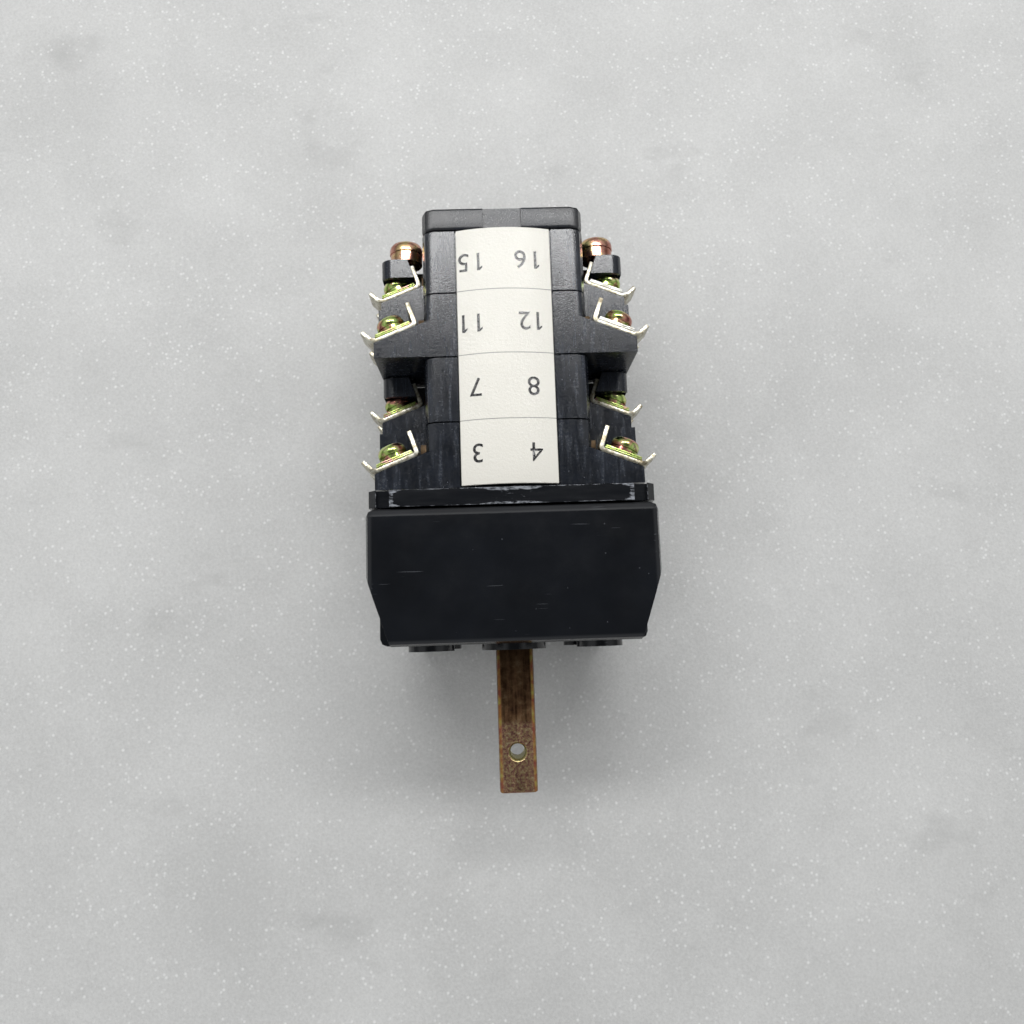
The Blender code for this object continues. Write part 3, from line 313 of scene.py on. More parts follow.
@once
def worn_cover():
    """The same moulding, with its rear edges rubbed white."""
    base = tuple(colours().housing)
    recipe = Recipe("Rubbed cover", 0.25)
    top = recipe.scaled(recipe.axis("Z"), 26.9 * MM, 27.7 * MM, 0.0, 1.0)
    rear = recipe.scaled(recipe.axis("Y"), 29.1 * MM, 29.8 * MM, 0.0, 1.0)
    front = recipe.scaled(recipe.axis("Y"), 27.0 * MM, 26.5 * MM, 0.0, 1.0)
    side = recipe.calc(recipe.axis("X"), 0.0, "ABSOLUTE")
    ends = recipe.scaled(side, 21.0 * MM, 23.0 * MM, 0.0, 0.95)
    middle = recipe.scaled(side, 6.5 * MM, 4.0 * MM, 0.0, 0.78)
    places = recipe.calc(recipe.calc(rear, front), recipe.calc(ends, middle))
    edges = recipe.calc(places, top, "MULTIPLY")
    chips = recipe.noise(900.0, 6.0, 0.75, recipe.stretched((0.35, 1.0, 1.0)))
    rubbed = recipe.ramp(recipe.calc(edges, chips, "MULTIPLY"), [(0.44, 0.0), (0.56, 0.6)])
    long_marks = recipe.noise(240.0, 4.0, 0.7, recipe.stretched((0.25, 2.2, 2.2)))
    scuffs = recipe.ramp(long_marks, [(0.6, 0.0), (0.74, 0.14)])
    shade = recipe.mix(scuffs, base, (0.12, 0.14, 0.17))
    recipe.colour(recipe.mix(rubbed, shade, (0.42, 0.44, 0.48)))
    recipe.gloss(recipe.scaled(long_marks, 0.3, 0.7, 0.12, 0.26))
    recipe.bump(chips, 0.03 * MM, 0.3)
    return recipe.material


@once
def satin_moulding():
    """Dark phenolic with a mottled bloom and fine streaks along the shaft."""
    base = tuple(colours().moulding)
    recipe = Recipe("Satin moulding", 0.42)
    bloom = recipe.noise(170.0, 5.0, 0.62)
    shade = recipe.ramp(bloom, [(0.32, toned(base, 0.6)), (0.68, toned(base, 1.5))])
    streaks = recipe.noise(900.0, 3.0, 0.6, recipe.stretched((1.0, 0.12, 1.0)))
    fine = recipe.ramp(streaks, [(0.5, 0.0), (0.75, 0.2)])
    pale = recipe.mix(fine, shade, (0.07, 0.09, 0.13))
    specks = recipe.ramp(recipe.cells(700.0), [(0.0, 1.0), (0.05, 1.0), (0.08, 0.0)])
    recipe.colour(recipe.mix(recipe.calc(specks, 0.35, "MULTIPLY"), pale, (0.3, 0.32, 0.36)))
    grit = recipe.noise(1900.0, 4.0, 0.7)
    recipe.gloss(recipe.scaled(recipe.calc(streaks, grit, "MULTIPLY"), 0.15, 0.4, 0.1, 0.32))
    recipe.shine(0.6)
    recipe.bump(recipe.calc(streaks, grit), 0.05 * MM, 0.75)
    return recipe.material


@once
def smooth_moulding():
    """The end plate's plainer skin, with a fine even grain."""
    base = tuple(colours().moulding)
    recipe = Recipe("Smooth moulding", 0.3)
    bloom = recipe.noise(300.0, 4.0, 0.6)
    shade = recipe.ramp(bloom, [(0.3, toned(base, 0.8)), (0.7, toned(base, 1.3))])
    warm = recipe.ramp(recipe.noise(90.0, 2.0), [(0.45, 0.0), (0.6, 0.35)])
    recipe.colour(recipe.mix(warm, shade, (0.03, 0.027, 0.024)))
    grain = recipe.noise(3200.0, 2.0)
    recipe.gloss(recipe.scaled(grain, 0.3, 0.7, 0.26, 0.34))
    recipe.shine(0.5)
    recipe.bump(grain, 0.02 * MM, 0.5)
    return recipe.material


@once
def cream_label():
    """Label stock with a thin printed line where one block meets the next."""
    base = tuple(colours().label)
    recipe = Recipe("Cream label", 0.34)
    tint = recipe.ramp(recipe.noise(60.0, 3.0), [(0.3, toned(base, 0.97)), (0.7, toned(base, 1.02))])
    along = recipe.axis("Y")
    wander = recipe.scaled(recipe.noise(45.0, 1.0), 0.0, 1.0, -0.25 * MM, 0.25 * MM)
    phase = recipe.calc(recipe.calc(along, wander, "ADD"), BLOCK_STARTS[0] - 0.15 * MM, "SUBTRACT")
    cell = recipe.calc(phase, BLOCK_PITCH, "MODULO")
    stops = [(0.0, 0.0), (0.12, 0.75), (0.3, 0.75), (0.42, 0.0)]
    line = recipe.ramp(recipe.scaled(cell, 0.0, 0.6 * MM, 0.0, 1.0), stops)
    inside = recipe.calc(recipe.calc(phase, 2.0 * MM, "GREATER_THAN"), line, "MULTIPLY")
    recipe.colour(recipe.mix(inside, tint, (0.16, 0.16, 0.16)))
    grit = recipe.noise(1700.0, 4.0, 0.7)
    recipe.gloss(recipe.scaled(grit, 0.35, 0.65, 0.04, 0.18))
    recipe.shine(0.24)
    recipe.bump(grit, 0.08 * MM, 0.9)
    return recipe.material


@once
def printing_ink():
    recipe = Recipe("Label ink", 0.45)
    base = tuple(colours().figures)
    recipe.colour(recipe.ramp(recipe.noise(1800.0, 4.0), [(0.3, base), (0.75, toned(base, 2.0))]))
    grit = recipe.noise(1700.0, 4.0, 0.7)
    recipe.gloss(recipe.scaled(grit, 0.35, 0.65, 0.04, 0.18))
    recipe.shine(0.75)
    recipe.bump(grit, 0.08 * MM, 0.9)
    return recipe.material


@once
def nickel_plate():
    recipe = Recipe("Nickel plate", 0.24, 1.0)
    tarnish = recipe.noise(900.0, 5.0, 0.65)
    plate = recipe.ramp(tarnish, [
        (0.32, (0.2, 0.16, 0.1)), (0.45, (0.42, 0.38, 0.28)),
        (0.56, (0.6, 0.58, 0.49)), (0.7, (0.74, 0.73, 0.67)),
    ])
    recipe.colour(plate)
    brushed = recipe.noise(1400.0, 3.0, 0.6, recipe.stretched((1.0, 1.0, 0.15)))
    recipe.gloss(recipe.scaled(brushed, 0.3, 0.7, 0.26, 0.46))
    recipe.bump(recipe.calc(brushed, tarnish), 0.04 * MM, 0.6)
    return recipe.material


def iridescent(name, stops, scale, roughness):
    """A chromate film, whose tint drifts between a few colours over a piece."""
    recipe = Recipe(name, roughness, 1.0)
    drift = recipe.noise(scale, 2.0, 0.5)
    recipe.colour(recipe.ramp(drift, stops))
    recipe.gloss(recipe.scaled(recipe.noise(1100.0, 3.0), 0.3, 0.7, roughness - 0.07, roughness + 0.1))
    recipe.bump(recipe.noise(2200.0, 3.0), 0.01 * MM, 0.35)
    return recipe.material


@once
def yellow_chromate():
    stops = [
        (0.3, (0.3, 0.1, 0.09)), (0.4, (0.56, 0.26, 0.2)), (0.47, (0.62, 0.5, 0.24)),
        (0.53, (0.36, 0.52, 0.12)), (0.62, (0.66, 0.74, 0.3)), (0.72, (0.72, 0.4, 0.36)),
    ]
    return iridescent("Yellow chromate", stops, 360.0, 0.17)


@once
def green_chromate():
    stops = [
        (0.3, (0.62, 0.3, 0.32)), (0.42, (0.5, 0.42, 0.2)), (0.5, (0.36, 0.5, 0.12)),
        (0.6, (0.62, 0.68, 0.26)), (0.72, (0.7, 0.7, 0.5)),
    ]
    return iridescent("Green chromate", stops, 620.0, 0.3)


@once
def pale_zinc():
    stops = [
        (0.3, (0.5, 0.48, 0.4)), (0.45, (0.74, 0.73, 0.68)),
        (0.6, (0.82, 0.82, 0.79)), (0.75, (0.66, 0.6, 0.5)),
    ]
    return iridescent("Pale zinc", stops, 500.0, 0.34)


@once
def copper_chromate():
    stops = [
        (0.32, (0.42, 0.17, 0.12)), (0.45, (0.62, 0.32, 0.24)),
        (0.56, (0.68, 0.46, 0.24)), (0.7, (0.56, 0.5, 0.22)),
    ]
    return iridescent("Copper chromate", stops, 260.0, 0.2)


@once
def chromated_bar():
    """The shaft: drawn steel under a brown-gold film, yellow and red along its corners."""
    recipe = Recipe("Chromated bar", 0.36, 1.0)
    drawn = recipe.noise(1300.0, 5.0, 0.7, recipe.stretched((1.0, 0.06, 1.0)))
    patches = recipe.noise(380.0, 5.0, 0.65)
    body = recipe.ramp(patches, [
        (0.3, (0.045, 0.022, 0.014)), (0.45, (0.12, 0.06, 0.03)),
        (0.58, (0.24, 0.14, 0.07)), (0.72, (0.46, 0.33, 0.2)),
    ])
    lines = recipe.ramp(drawn, [(0.45, 0.0), (0.7, 0.6)])
    streaked = recipe.mix(lines, body, (0.36, 0.2, 0.11))
    along = recipe.axis("Y")
    side = recipe.calc(recipe.axis("X"), 0.0, "ABSOLUTE")
    sandy = recipe.ramp(recipe.noise(1500.0, 5.0, 0.8), [
        (0.36, (0.12, 0.06, 0.045)), (0.47, (0.3, 0.15, 0.12)),
        (0.55, (0.4, 0.29, 0.13)), (0.66, (0.62, 0.52, 0.38)),
    ])
    flat = recipe.scaled(along, -16.4 * MM, -17.4 * MM, 0.0, 1.0)
    worn = recipe.mix(flat, streaked, sandy)
    offset = recipe.calc(along, PIN_HOLE_Y, "SUBTRACT")
    squares = recipe.calc(recipe.calc(side, 2.0, "POWER"), recipe.calc(offset, 2.0, "POWER"))
    around = recipe.calc(squares, 0.5, "POWER")
    dish = recipe.scaled(around, 2.0 * MM, 1.75 * MM, 0.0, 0.85)
    worn = recipe.mix(dish, worn, (0.62, 0.58, 0.26))
    height = recipe.calc(recipe.axis("Z"), 0.0, "ABSOLUTE")
    rim = (SHAFT_HALF - 1.0 * MM, SHAFT_HALF - 0.4 * MM, 0.0, 1.0)
    near_edge = recipe.calc(recipe.scaled(side, *rim), recipe.scaled(height, *rim), "MULTIPLY")
    corner = recipe.ramp(near_edge, [(0.15, 0.0), (0.75, 0.8)])
    edge = recipe.ramp(recipe.noise(520.0, 3.0), [
        (0.38, (0.3, 0.07, 0.05)), (0.52, (0.42, 0.2, 0.06)), (0.66, (0.46, 0.42, 0.1)),
    ])
    # Painted shade: the shaft darkens to near-black brown towards the housing's face.
    shade_near_housing = recipe.scaled(along, -15.0 * MM, 0.5 * MM, 0.0, 0.85)
    recipe.colour(recipe.mix(shade_near_housing, recipe.mix(corner, worn, edge), (0.02, 0.011, 0.006)))
    recipe.gloss(recipe.scaled(drawn, 0.3, 0.7, 0.28, 0.48))
    recipe.bump(recipe.calc(drawn, patches), 0.03 * MM, 0.45)
    return recipe.material


@once
def white_cam_plastic():
    recipe = Recipe("White cam plastic", 0.45)
    stops = [(0.3, (0.6, 0.59, 0.54)), (0.7, (0.74, 0.73, 0.69))]
    recipe.colour(recipe.ramp(recipe.noise(200.0, 4.0), stops))
    recipe.bump(recipe.noise(1500.0, 3.0), 0.02 * MM, 0.3)
    return recipe.material


@once
def contact_copper():
    recipe = Recipe("Contact copper", 0.3, 1.0)
    stops = [(0.3, (0.5, 0.25, 0.15)), (0.7, (0.75, 0.45, 0.3))]
    recipe.colour(recipe.ramp(recipe.noise(500.0, 4.0), stops))
    recipe.gloss(recipe.scaled(recipe.noise(1200.0, 2.0), 0.3, 0.7, 0.22, 0.4))
    return recipe.material


# The contact strips that run into the blocks are coloured a very dark brown metal.
@once
def tarnished_strip():
    recipe = Recipe("Dark brown strip", 0.5, 1.0)
    stops = [(0.3, (0.05, 0.032, 0.02)), (0.7, (0.13, 0.09, 0.055))]
    recipe.colour(recipe.ramp(recipe.noise(500.0, 4.0), stops))
    return recipe.material


@once
def spring_wire():
    recipe = Recipe("Spring wire", 0.28, 1.0)
    stops = [(0.3, (0.4, 0.4, 0.41)), (0.7, (0.62, 0.62, 0.63))]
    recipe.colour(recipe.ramp(recipe.noise(700.0, 3.0), stops))
    recipe.gloss(recipe.scaled(recipe.noise(1500.0, 2.0), 0.3, 0.7, 0.2, 0.36))
    return recipe.material


@once
def table_top():
    base = tuple(colours().floor)
    recipe = Recipe("Pale table", 0.6)
    mottle = recipe.noise(24.0, 7.0, 0.62)
    grain = recipe.noise(1500.0, 3.0, 0.7)
    half = (0.3, 0.7, 0.0, 0.5)
    both = recipe.calc(recipe.scaled(mottle, *half), recipe.scaled(grain, *half))
    shade = recipe.ramp(both, [(0.15, toned(base, 0.87)), (0.85, toned(base, 1.1))])
    blots = recipe.noise(31.0, 4.0, 0.6, recipe.stretched((1.0, 1.6, 1.0)))
    smudges = recipe.ramp(blots, [(0.62, 0.0), (0.74, 0.4)])
    stained = recipe.mix(smudges, shade, toned(base, 0.66))
    glints = recipe.ramp(recipe.cells(620.0), [(0.0, 0.42), (0.12, 0.36), (0.3, 0.0)])
    sparse = recipe.ramp(recipe.noise(260.0, 2.0), [(0.44, 0.0), (0.56, 1.0)])
    recipe.colour(recipe.mix(recipe.calc(glints, sparse, "MULTIPLY"), stained, (0.9, 0.9, 0.89)))
    recipe.bump(grain, 0.16 * MM, 0.55)
    return recipe.material


# Shapes

def finish_piece(name, shape, material, body, replaced=(), smooth=38.0, flat=False):
    """Makes a piece of a finished bmesh and puts it on its body, or bakes its transform if given a
    tuple.
    """
    mesh = bpy.data.meshes.new(name)
    shape.to_mesh(mesh)
    shape.free()
    piece = bpy.data.objects.new(name, mesh)
    bpy.context.scene.collection.objects.link(piece)
    mesh.materials.append(material)
    mesh.shade_smooth()
    mesh.set_sharp_from_angle(angle=math.radians(smooth))
    if flat:
        shading = piece.modifiers.new("Flat faces", "WEIGHTED_NORMAL")
        shading.weight = 100
        shading.keep_sharp = True
    if isinstance(body, tuple):
        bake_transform(piece)
    else:
        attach(piece, body)
    if replaced:
        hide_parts(*replaced)
    return piece


def round_edges(shape, width, segments=2, angle=30.0):
    """Rounds the sharp edges that are long enough to take it."""
    limit, shortest = math.radians(angle), 2.2 * width
    sharp = [
        edge for edge in shape.edges
        if len(edge.link_faces) == 2 and edge.calc_face_angle(0.0) > limit
        and edge.calc_length() > shortest
    ]
    bmesh.ops.bevel(
        shape, geom=sharp, offset=width, offset_type="OFFSET", segments=segments,
        profile=0.5, affect="EDGES", clamp_overlap=True, material=-1,
    )


def softened(node, width, segments=2):
    """A copy of a solid with its flat faces whole again and its edges rounded."""
    shape = bmesh.new()
    shape.from_mesh(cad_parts[node].data)
    bmesh.ops.remove_doubles(shape, verts=shape.verts, dist=WELD)
    bmesh.ops.dissolve_limit(
        shape, angle_limit=math.radians(1.0), use_dissolve_boundaries=False,
        verts=shape.verts, edges=shape.edges,
    )
    round_edges(shape, width, segments)
    return shape


def turned(profile, steps):
    """A solid of revolution about Z from (radius, height) points that start and end on the axis."""
    shape = bmesh.new()
    points = [shape.verts.new((radius, 0, height)) for radius, height in profile]
    edges = [shape.edges.new(pair) for pair in zip(points, points[1:])]
    bmesh.ops.spin(
        shape, geom=points + edges, cent=(0, 0, 0), axis=(0, 0, 1), dvec=(0, 0, 0),
        angle=math.tau, steps=steps, use_merge=True, use_duplicate=False,
    )
    bmesh.ops.remove_doubles(shape, verts=shape.verts, dist=WELD)
    bmesh.ops.recalc_face_normals(shape, faces=shape.faces)
    return shape


def merge(target, other, matrix=Matrix.Identity(4)):
    """Moves one bmesh by a matrix and adds it to another."""
    bmesh.ops.transform(other, matrix=matrix, verts=other.verts)
    mesh = bpy.data.meshes.new("part")
    other.to_mesh(mesh)
    other.free()
    target.from_mesh(mesh)
    bpy.data.meshes.remove(mesh)


def slab(size, edge):
    """A rectangular plate on the XY plane with rounded edges."""
    shape = bmesh.new()
    bmesh.ops.create_cube(shape, size=1.0)
    bmesh.ops.scale(shape, vec=size, verts=shape.verts)
    bmesh.ops.translate(shape, vec=(0, 0, size[2] / 2), verts=shape.verts)
    round_edges(shape, edge)
    return shape


def bent_plate(path, low, high, thickness, bend, edge):
    """A strip that follows a path in the XY plane, with rounded bends, between two levels."""
    shape = bmesh.new()
    points = [shape.verts.new((x, y, low)) for x, y in path]
    edges = [shape.edges.new(pair) for pair in zip(points, points[1:])]
    raised = bmesh.ops.extrude_edge_only(shape, edges=edges)["geom"]
    lifted = [item for item in raised if isinstance(item, bmesh.types.BMVert)]
    bmesh.ops.translate(shape, vec=(0, 0, high - low), verts=lifted)
    folds = [
        item for item in shape.edges
        if len(item.link_faces) == 2 and abs(item.verts[0].co.z - item.verts[1].co.z) > (high - low) / 2
    ]
    bmesh.ops.bevel(
        shape, geom=folds, offset=bend, offset_type="OFFSET", segments=5, profile=0.5,
        affect="EDGES", clamp_overlap=True, material=-1,
    )
    bmesh.ops.recalc_face_normals(shape, faces=shape.faces)
    bmesh.ops.solidify(shape, geom=list(shape.faces), thickness=thickness)
    bmesh.ops.recalc_face_normals(shape, faces=shape.faces)
    centre_strip(shape, path, thickness)
    round_edges(shape, edge, 2, 60.0)
    return shape


def centre_strip(shape, path, thickness):
    """Moves a strip that grew to one side of its path until the path runs down its middle."""
    start, end = Vector(path[1]), Vector(path[2])
    along = (end - start).normalized()
    across = Vector((-along.y, along.x))
    offsets = sorted((vert.co.xy - start).dot(across) for vert in shape.verts)
    shift = -math.copysign(thickness / 2, offsets[len(offsets) // 2])
    bmesh.ops.translate(shape, vec=(across.x * shift, across.y * shift, 0), verts=shape.verts)


def main_terminal_path():
    """The terminal's middle line on the right, in the plane of the shaft."""
    points = ((30.92, 6.31), (28.4, 3.88), (18.67, 7.81), (20.5, 13.15))
    return tuple((x * MM, y * MM) for x, y in points)


class SWITCH_OT_mouldings(bpy.types.Operator):
    """Give the housing, its cover, the blocks and the end plate rounded edges and their plastic"""

    bl_idname = "switch.mouldings"
    bl_label = "Mouldings"
    bl_options = {"REGISTER", "UNDO"}

    def execute(self, context):
        edge = sizes().edge
        plan = [
            ("mechanism_housing", glossy_housing(), "housing", edge * 0.7),
            ("mechanism_cover", worn_cover(), "housing", edge),
            ("end_plate", smooth_moulding(), "moulding", edge),
        ]
        plan += [(f"contact_block_{number}", satin_moulding(), "moulding", edge) for number in BLOCKS]
        for node, material, slot, width in plan:
            shape = softened(node, width)
            finish_piece(node + "_moulding", shape, material, BODY, [node], flat=True)
        return {"FINISHED"}


def screw_head(radius, height, washer_radius, washer_height, steps=28):
    """A pan head on its washer, standing on Z, with a round hollow in its top."""
    top, rim = washer_height + height, 0.12 * MM
    profile = [(0.0, top - 1.25 * MM), (0.85 * MM, top - 1.2 * MM), (1.0 * MM, top - 0.12 * MM)]
    profile += [
        (radius * 0.45, top), (radius * 0.68, top - height * 0.07),
        (radius * 0.86, top - height * 0.2), (radius * 0.96, top - height * 0.4),
        (radius, top - height * 0.62), (radius, washer_height + rim),
        (radius * 0.97, washer_height), (washer_radius - rim, washer_height),
        (washer_radius, washer_height - rim), (washer_radius, rim),
        (washer_radius - rim, 0.0), (0.0, 0.0),
    ]
    return turned(profile, steps)


def add_shank(head, radius, length, middle):
    """Adds a plain shank along Z, centred at a height."""
    shank = bmesh.new()
    bmesh.ops.create_cone(
        shank, cap_ends=True, segments=20, radius1=radius, radius2=radius, depth=length,
    )
    merge(head, shank, Matrix.Translation((0, 0, middle)))


def cross_cutters(depth, top, reach, width):
    """Two crossed wedges that shape a driver's recess."""
    shape = bmesh.new()
    for turn in (0.0, math.pi / 2):
        bar = bmesh.new()
        bmesh.ops.create_cube(bar, size=1.0)
        bmesh.ops.scale(bar, vec=(reach * 2, width, depth * 2), verts=bar.verts)
        floor = [vert for vert in bar.verts if vert.co.z < 0]
        bmesh.ops.scale(bar, vec=(0.35, 0.8, 1.0), verts=floor)
        place = Matrix.Translation((0, 0, top)) @ Matrix.Rotation(turn, 4, "Z")
        merge(shape, bar, place)
    return shape


def with_recess(shape, depth, top, reach, width):
    """Cuts a driver's recess into a screw head with a Boolean, and returns the result as a bmesh."""
    scratch = []
    for content in (shape, cross_cutters(depth, top, reach, width)):
        mesh = bpy.data.meshes.new("scratch")
        content.to_mesh(mesh)
        content.free()
        thing = bpy.data.objects.new("scratch", mesh)
        bpy.context.scene.collection.objects.link(thing)
        scratch.append(thing)
    body, cutter = scratch
    cut = body.modifiers.new("Recess", "BOOLEAN")
    cut.object = cutter
    cut.operation = "DIFFERENCE"
    cut.solver = "EXACT"
    cut.use_self = True
    bpy.context.view_layer.update()
    graph = bpy.context.evaluated_depsgraph_get()
    mesh = bpy.data.meshes.new_from_object(body.evaluated_get(graph))
    result = bmesh.new()
    result.from_mesh(mesh)
    for thing in scratch:
        bpy.data.objects.remove(thing)
    bpy.data.meshes.remove(mesh)
    return result


def placed(shape, matrix):
    """Moves a shape, and turns its faces right side out again where the matrix mirrors it."""
    bmesh.ops.transform(shape, matrix=matrix, verts=shape.verts)
    if matrix.determinant() < 0:
        bmesh.ops.reverse_faces(shape, faces=shape.faces)
    return shape


def on_terminal(level, start, side, half_turn):
    """Matrix from an upright screw to its place on a terminal."""
    path = main_terminal_path()
    middle = (Vector(path[1]) + Vector(path[2])) / 2
    seat = Vector((middle.x, middle.y, LEVELS[level])) + SCREW_NORMAL * sizes().plate / 2
    upright = Vector((0, 0, 1))
    turn = Matrix((upright, SCREW_NORMAL.cross(upright), SCREW_NORMAL)).transposed().to_4x4()
    return placing(start, side, half_turn) @ Matrix.Translation(seat) @ turn


def placing(start, side, half_turn):
    """From the right-hand side of a block's own space to the switch."""
    flip = Matrix.Diagonal((-1, 1, 1, 1)) if side < 0 else Matrix.Identity(4)
    turn = Matrix.Rotation(math.pi, 4, "Y") if half_turn else Matrix.Identity(4)
    return Matrix.Translation((0, start, 0)) @ turn @ flip


def terminal_places():
    """Every terminal: (number, row, level, block's start, side in the block's space, half turn)."""
    for index, start in enumerate(BLOCK_STARTS):
        half_turn = index % 2 == 1
        for level in LEVELS:
            row = "upper" if (level == "outer") != half_turn else "lower"
            for side in (-1, 1):
                seen = -side if half_turn else side
                number = 4 * index + (3 if row == "upper" else 1) + (1 if seen > 0 else 0)
                yield number, row, level, start, side, half_turn


class SWITCH_OT_terminals(bpy.types.Operator):
    """Bend the nickel-plated terminals with their contact strips"""

    bl_idname = "switch.terminals"
    bl_label = "Terminals"
    bl_options = {"REGISTER", "UNDO"}

    def execute(self, context):
        size = sizes()
        half_width, edge = 3.4 * MM, 0.14 * MM
        for number, _, level, *place in terminal_places():
            low, high = LEVELS[level] - half_width, LEVELS[level] + half_width
            shape = bent_plate(main_terminal_path(), low, high, size.plate, size.bend, edge)
            merge(shape, self.contact_strip(level))
            shape = placed(shape, placing(*place))
            name, node = f"terminal_plate_{number}", f"terminal_{number}"
            plate = finish_piece(name, shape, nickel_plate(), BODY, [node])
            plate.data.materials.append(tarnished_strip())
        return {"FINISHED"}

    @staticmethod
    def contact_strip(level):
        """The strip that runs from the terminal through the block's wall to a fixed contact."""
        if level == "outer":
            path = [(19.1, 10.0), (14.0, 10.0), (12.2, 8.2), (8.0, 8.2)]
        else:
            path = [(19.1, 0.0), (14.0, 0.0), (14.0, -8.2), (8.0, -8.2)]
        points = [(x * MM, z * MM) for x, z in path]
        front, rear = 7.95 * MM, 10.75 * MM
        thickness, bend, edge = 0.8 * MM, 0.5 * MM, 0.1 * MM
        strip = bent_plate(points, front, rear, thickness, bend, edge)
        stand = Matrix(((1, 0, 0, 0), (0, 0, 1, 0), (0, 1, 0, 0), (0, 0, 0, 1)))
        bmesh.ops.transform(strip, matrix=stand, verts=strip.verts)
        bmesh.ops.reverse_faces(strip, faces=strip.faces)
        for face in strip.faces:
            face.material_index = 1
        return strip


class SWITCH_OT_screws(bpy.types.Operator):
    """Add the terminal screws with their clamps and spring washers"""

    bl_idname = "switch.screws"
    bl_label = "Terminal screws"
    bl_options = {"REGISTER", "UNDO"}

    def execute(self, context):
        lift, clamp_height = 0.05 * MM, 0.85 * MM
        for number, row, *place in terminal_places():
            base = on_terminal(*place)
            clamp = placed(self.clamp(), base @ Matrix.Translation((0, 0, lift)))
            finish = pale_zinc() if number in (12, 16) else green_chromate()
            finish_piece(f"terminal_clamp_{number}", clamp, finish, BODY)
            head = placed(self.head(number), base @ Matrix.Translation((0, 0, lift + clamp_height)))
            replaced = [f"terminal_screw_{number}"] if row == "upper" else []
            finish_piece(f"terminal_head_{number}", head, yellow_chromate(), BODY, replaced)
        return {"FINISHED"}

    @staticmethod
    def clamp():
        """Two square layers, the upper one a little smaller."""
        layers = slab((6.5 * MM, 8.2 * MM, 0.4 * MM), 0.12 * MM)
        upper = slab((6.3 * MM, 7.9 * MM, 0.47 * MM), 0.14 * MM)
        merge(layers, upper, Matrix.Translation((0, 0, 0.38 * MM)))
        return layers

    @staticmethod
    def head(number):
        """A screw's head, washer and shank, each screw turned differently."""
        washer, height, turn_step = 0.9 * MM, 2.3 * MM, 0.7
        head = screw_head(sizes().head_radius, height, 2.9 * MM, washer)
        head = with_recess(head, 1.3 * MM, washer + height, 1.75 * MM, 0.85 * MM)
        turn = Matrix.Rotation(turn_step * number, 3, "Z")
        bmesh.ops.rotate(head, cent=(0, 0, 0), matrix=turn, verts=head.verts)
        add_shank(head, 1.55 * MM, 4.6 * MM, -2.2 * MM)
        return head


def lying_behind(shape, node, foot):
    """Turns an upright fastener to the rear, its seat a given way in front of a solid's end."""
    low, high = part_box(node)
    place = Matrix.Translation(((low.x + high.x) / 2, high.y - foot, (low.z + high.z) / 2))
    bmesh.ops.transform(shape, matrix=place @ Matrix.Rotation(-math.pi / 2, 4, "X"), verts=shape.verts)
    return shape


class SWITCH_OT_lug_screws(bpy.types.Operator):
    """Add the two large screws in the last block's rear lugs, each on a thick washer"""

    bl_idname = "switch.lug_screws"
    bl_label = "Lug screws"
    bl_options = {"REGISTER", "UNDO"}

    def execute(self, context):
        radius, washer, height = sizes().lug_head_radius, 2.4 * MM, 2.8 * MM
        for side in ("left", "right"):
            node = f"lug_screw_{side}"
            head = screw_head(radius, height, radius * 0.95, washer, 40)
            head = with_recess(head, 1.4 * MM, washer + height, 2.0 * MM, 0.95 * MM)
            add_shank(head, 1.2 * MM, 1.6 * MM, -0.35 * MM)
            lying_behind(head, node, washer + height)
            finish_piece(f"{node}_head", head, copper_chromate(), BODY, [node])
        return {"FINISHED"}


class SWITCH_OT_tie_rods(bpy.types.Operator):
    """Add the two tie rods that run through the blocks, each with a low rounded head"""

    bl_idname = "switch.tie_rods"
    bl_label = "Tie rods"
    bl_options = {"REGISTER", "UNDO"}

    def execute(self, context):
        for side in ("left", "right"):
            node = f"tie_rod_{side}"
            low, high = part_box(node)
            head, head_radius, radius, chamfer = 1.2 * MM, 2.05 * MM, 1.5 * MM, 0.4 * MM
            length = high.y - low.y - head
            profile = [
                (0.0, head), (1.2 * MM, 1.1 * MM), (1.75 * MM, 0.8 * MM),
                (head_radius, 0.35 * MM), (head_radius, 0.0), (radius, 0.0),
                (radius, chamfer - length), (radius - chamfer, -length), (0.0, -length),
            ]
            rod = lying_behind(turned(profile, 28), node, head)
            finish_piece(f"{node}_bar", rod, copper_chromate(), BODY, [node])
        return {"FINISHED"}


def label_height(x):
    """Height of the label's arched top at a distance from the middle."""
    half = (LABEL_HIGH.x - LABEL_LOW.x) / 2
    crown = 1.5 * MM
    radius = (half**2 + crown**2) / (2 * crown)
    return LABEL_HIGH.z - radius + math.sqrt(radius**2 - x**2)


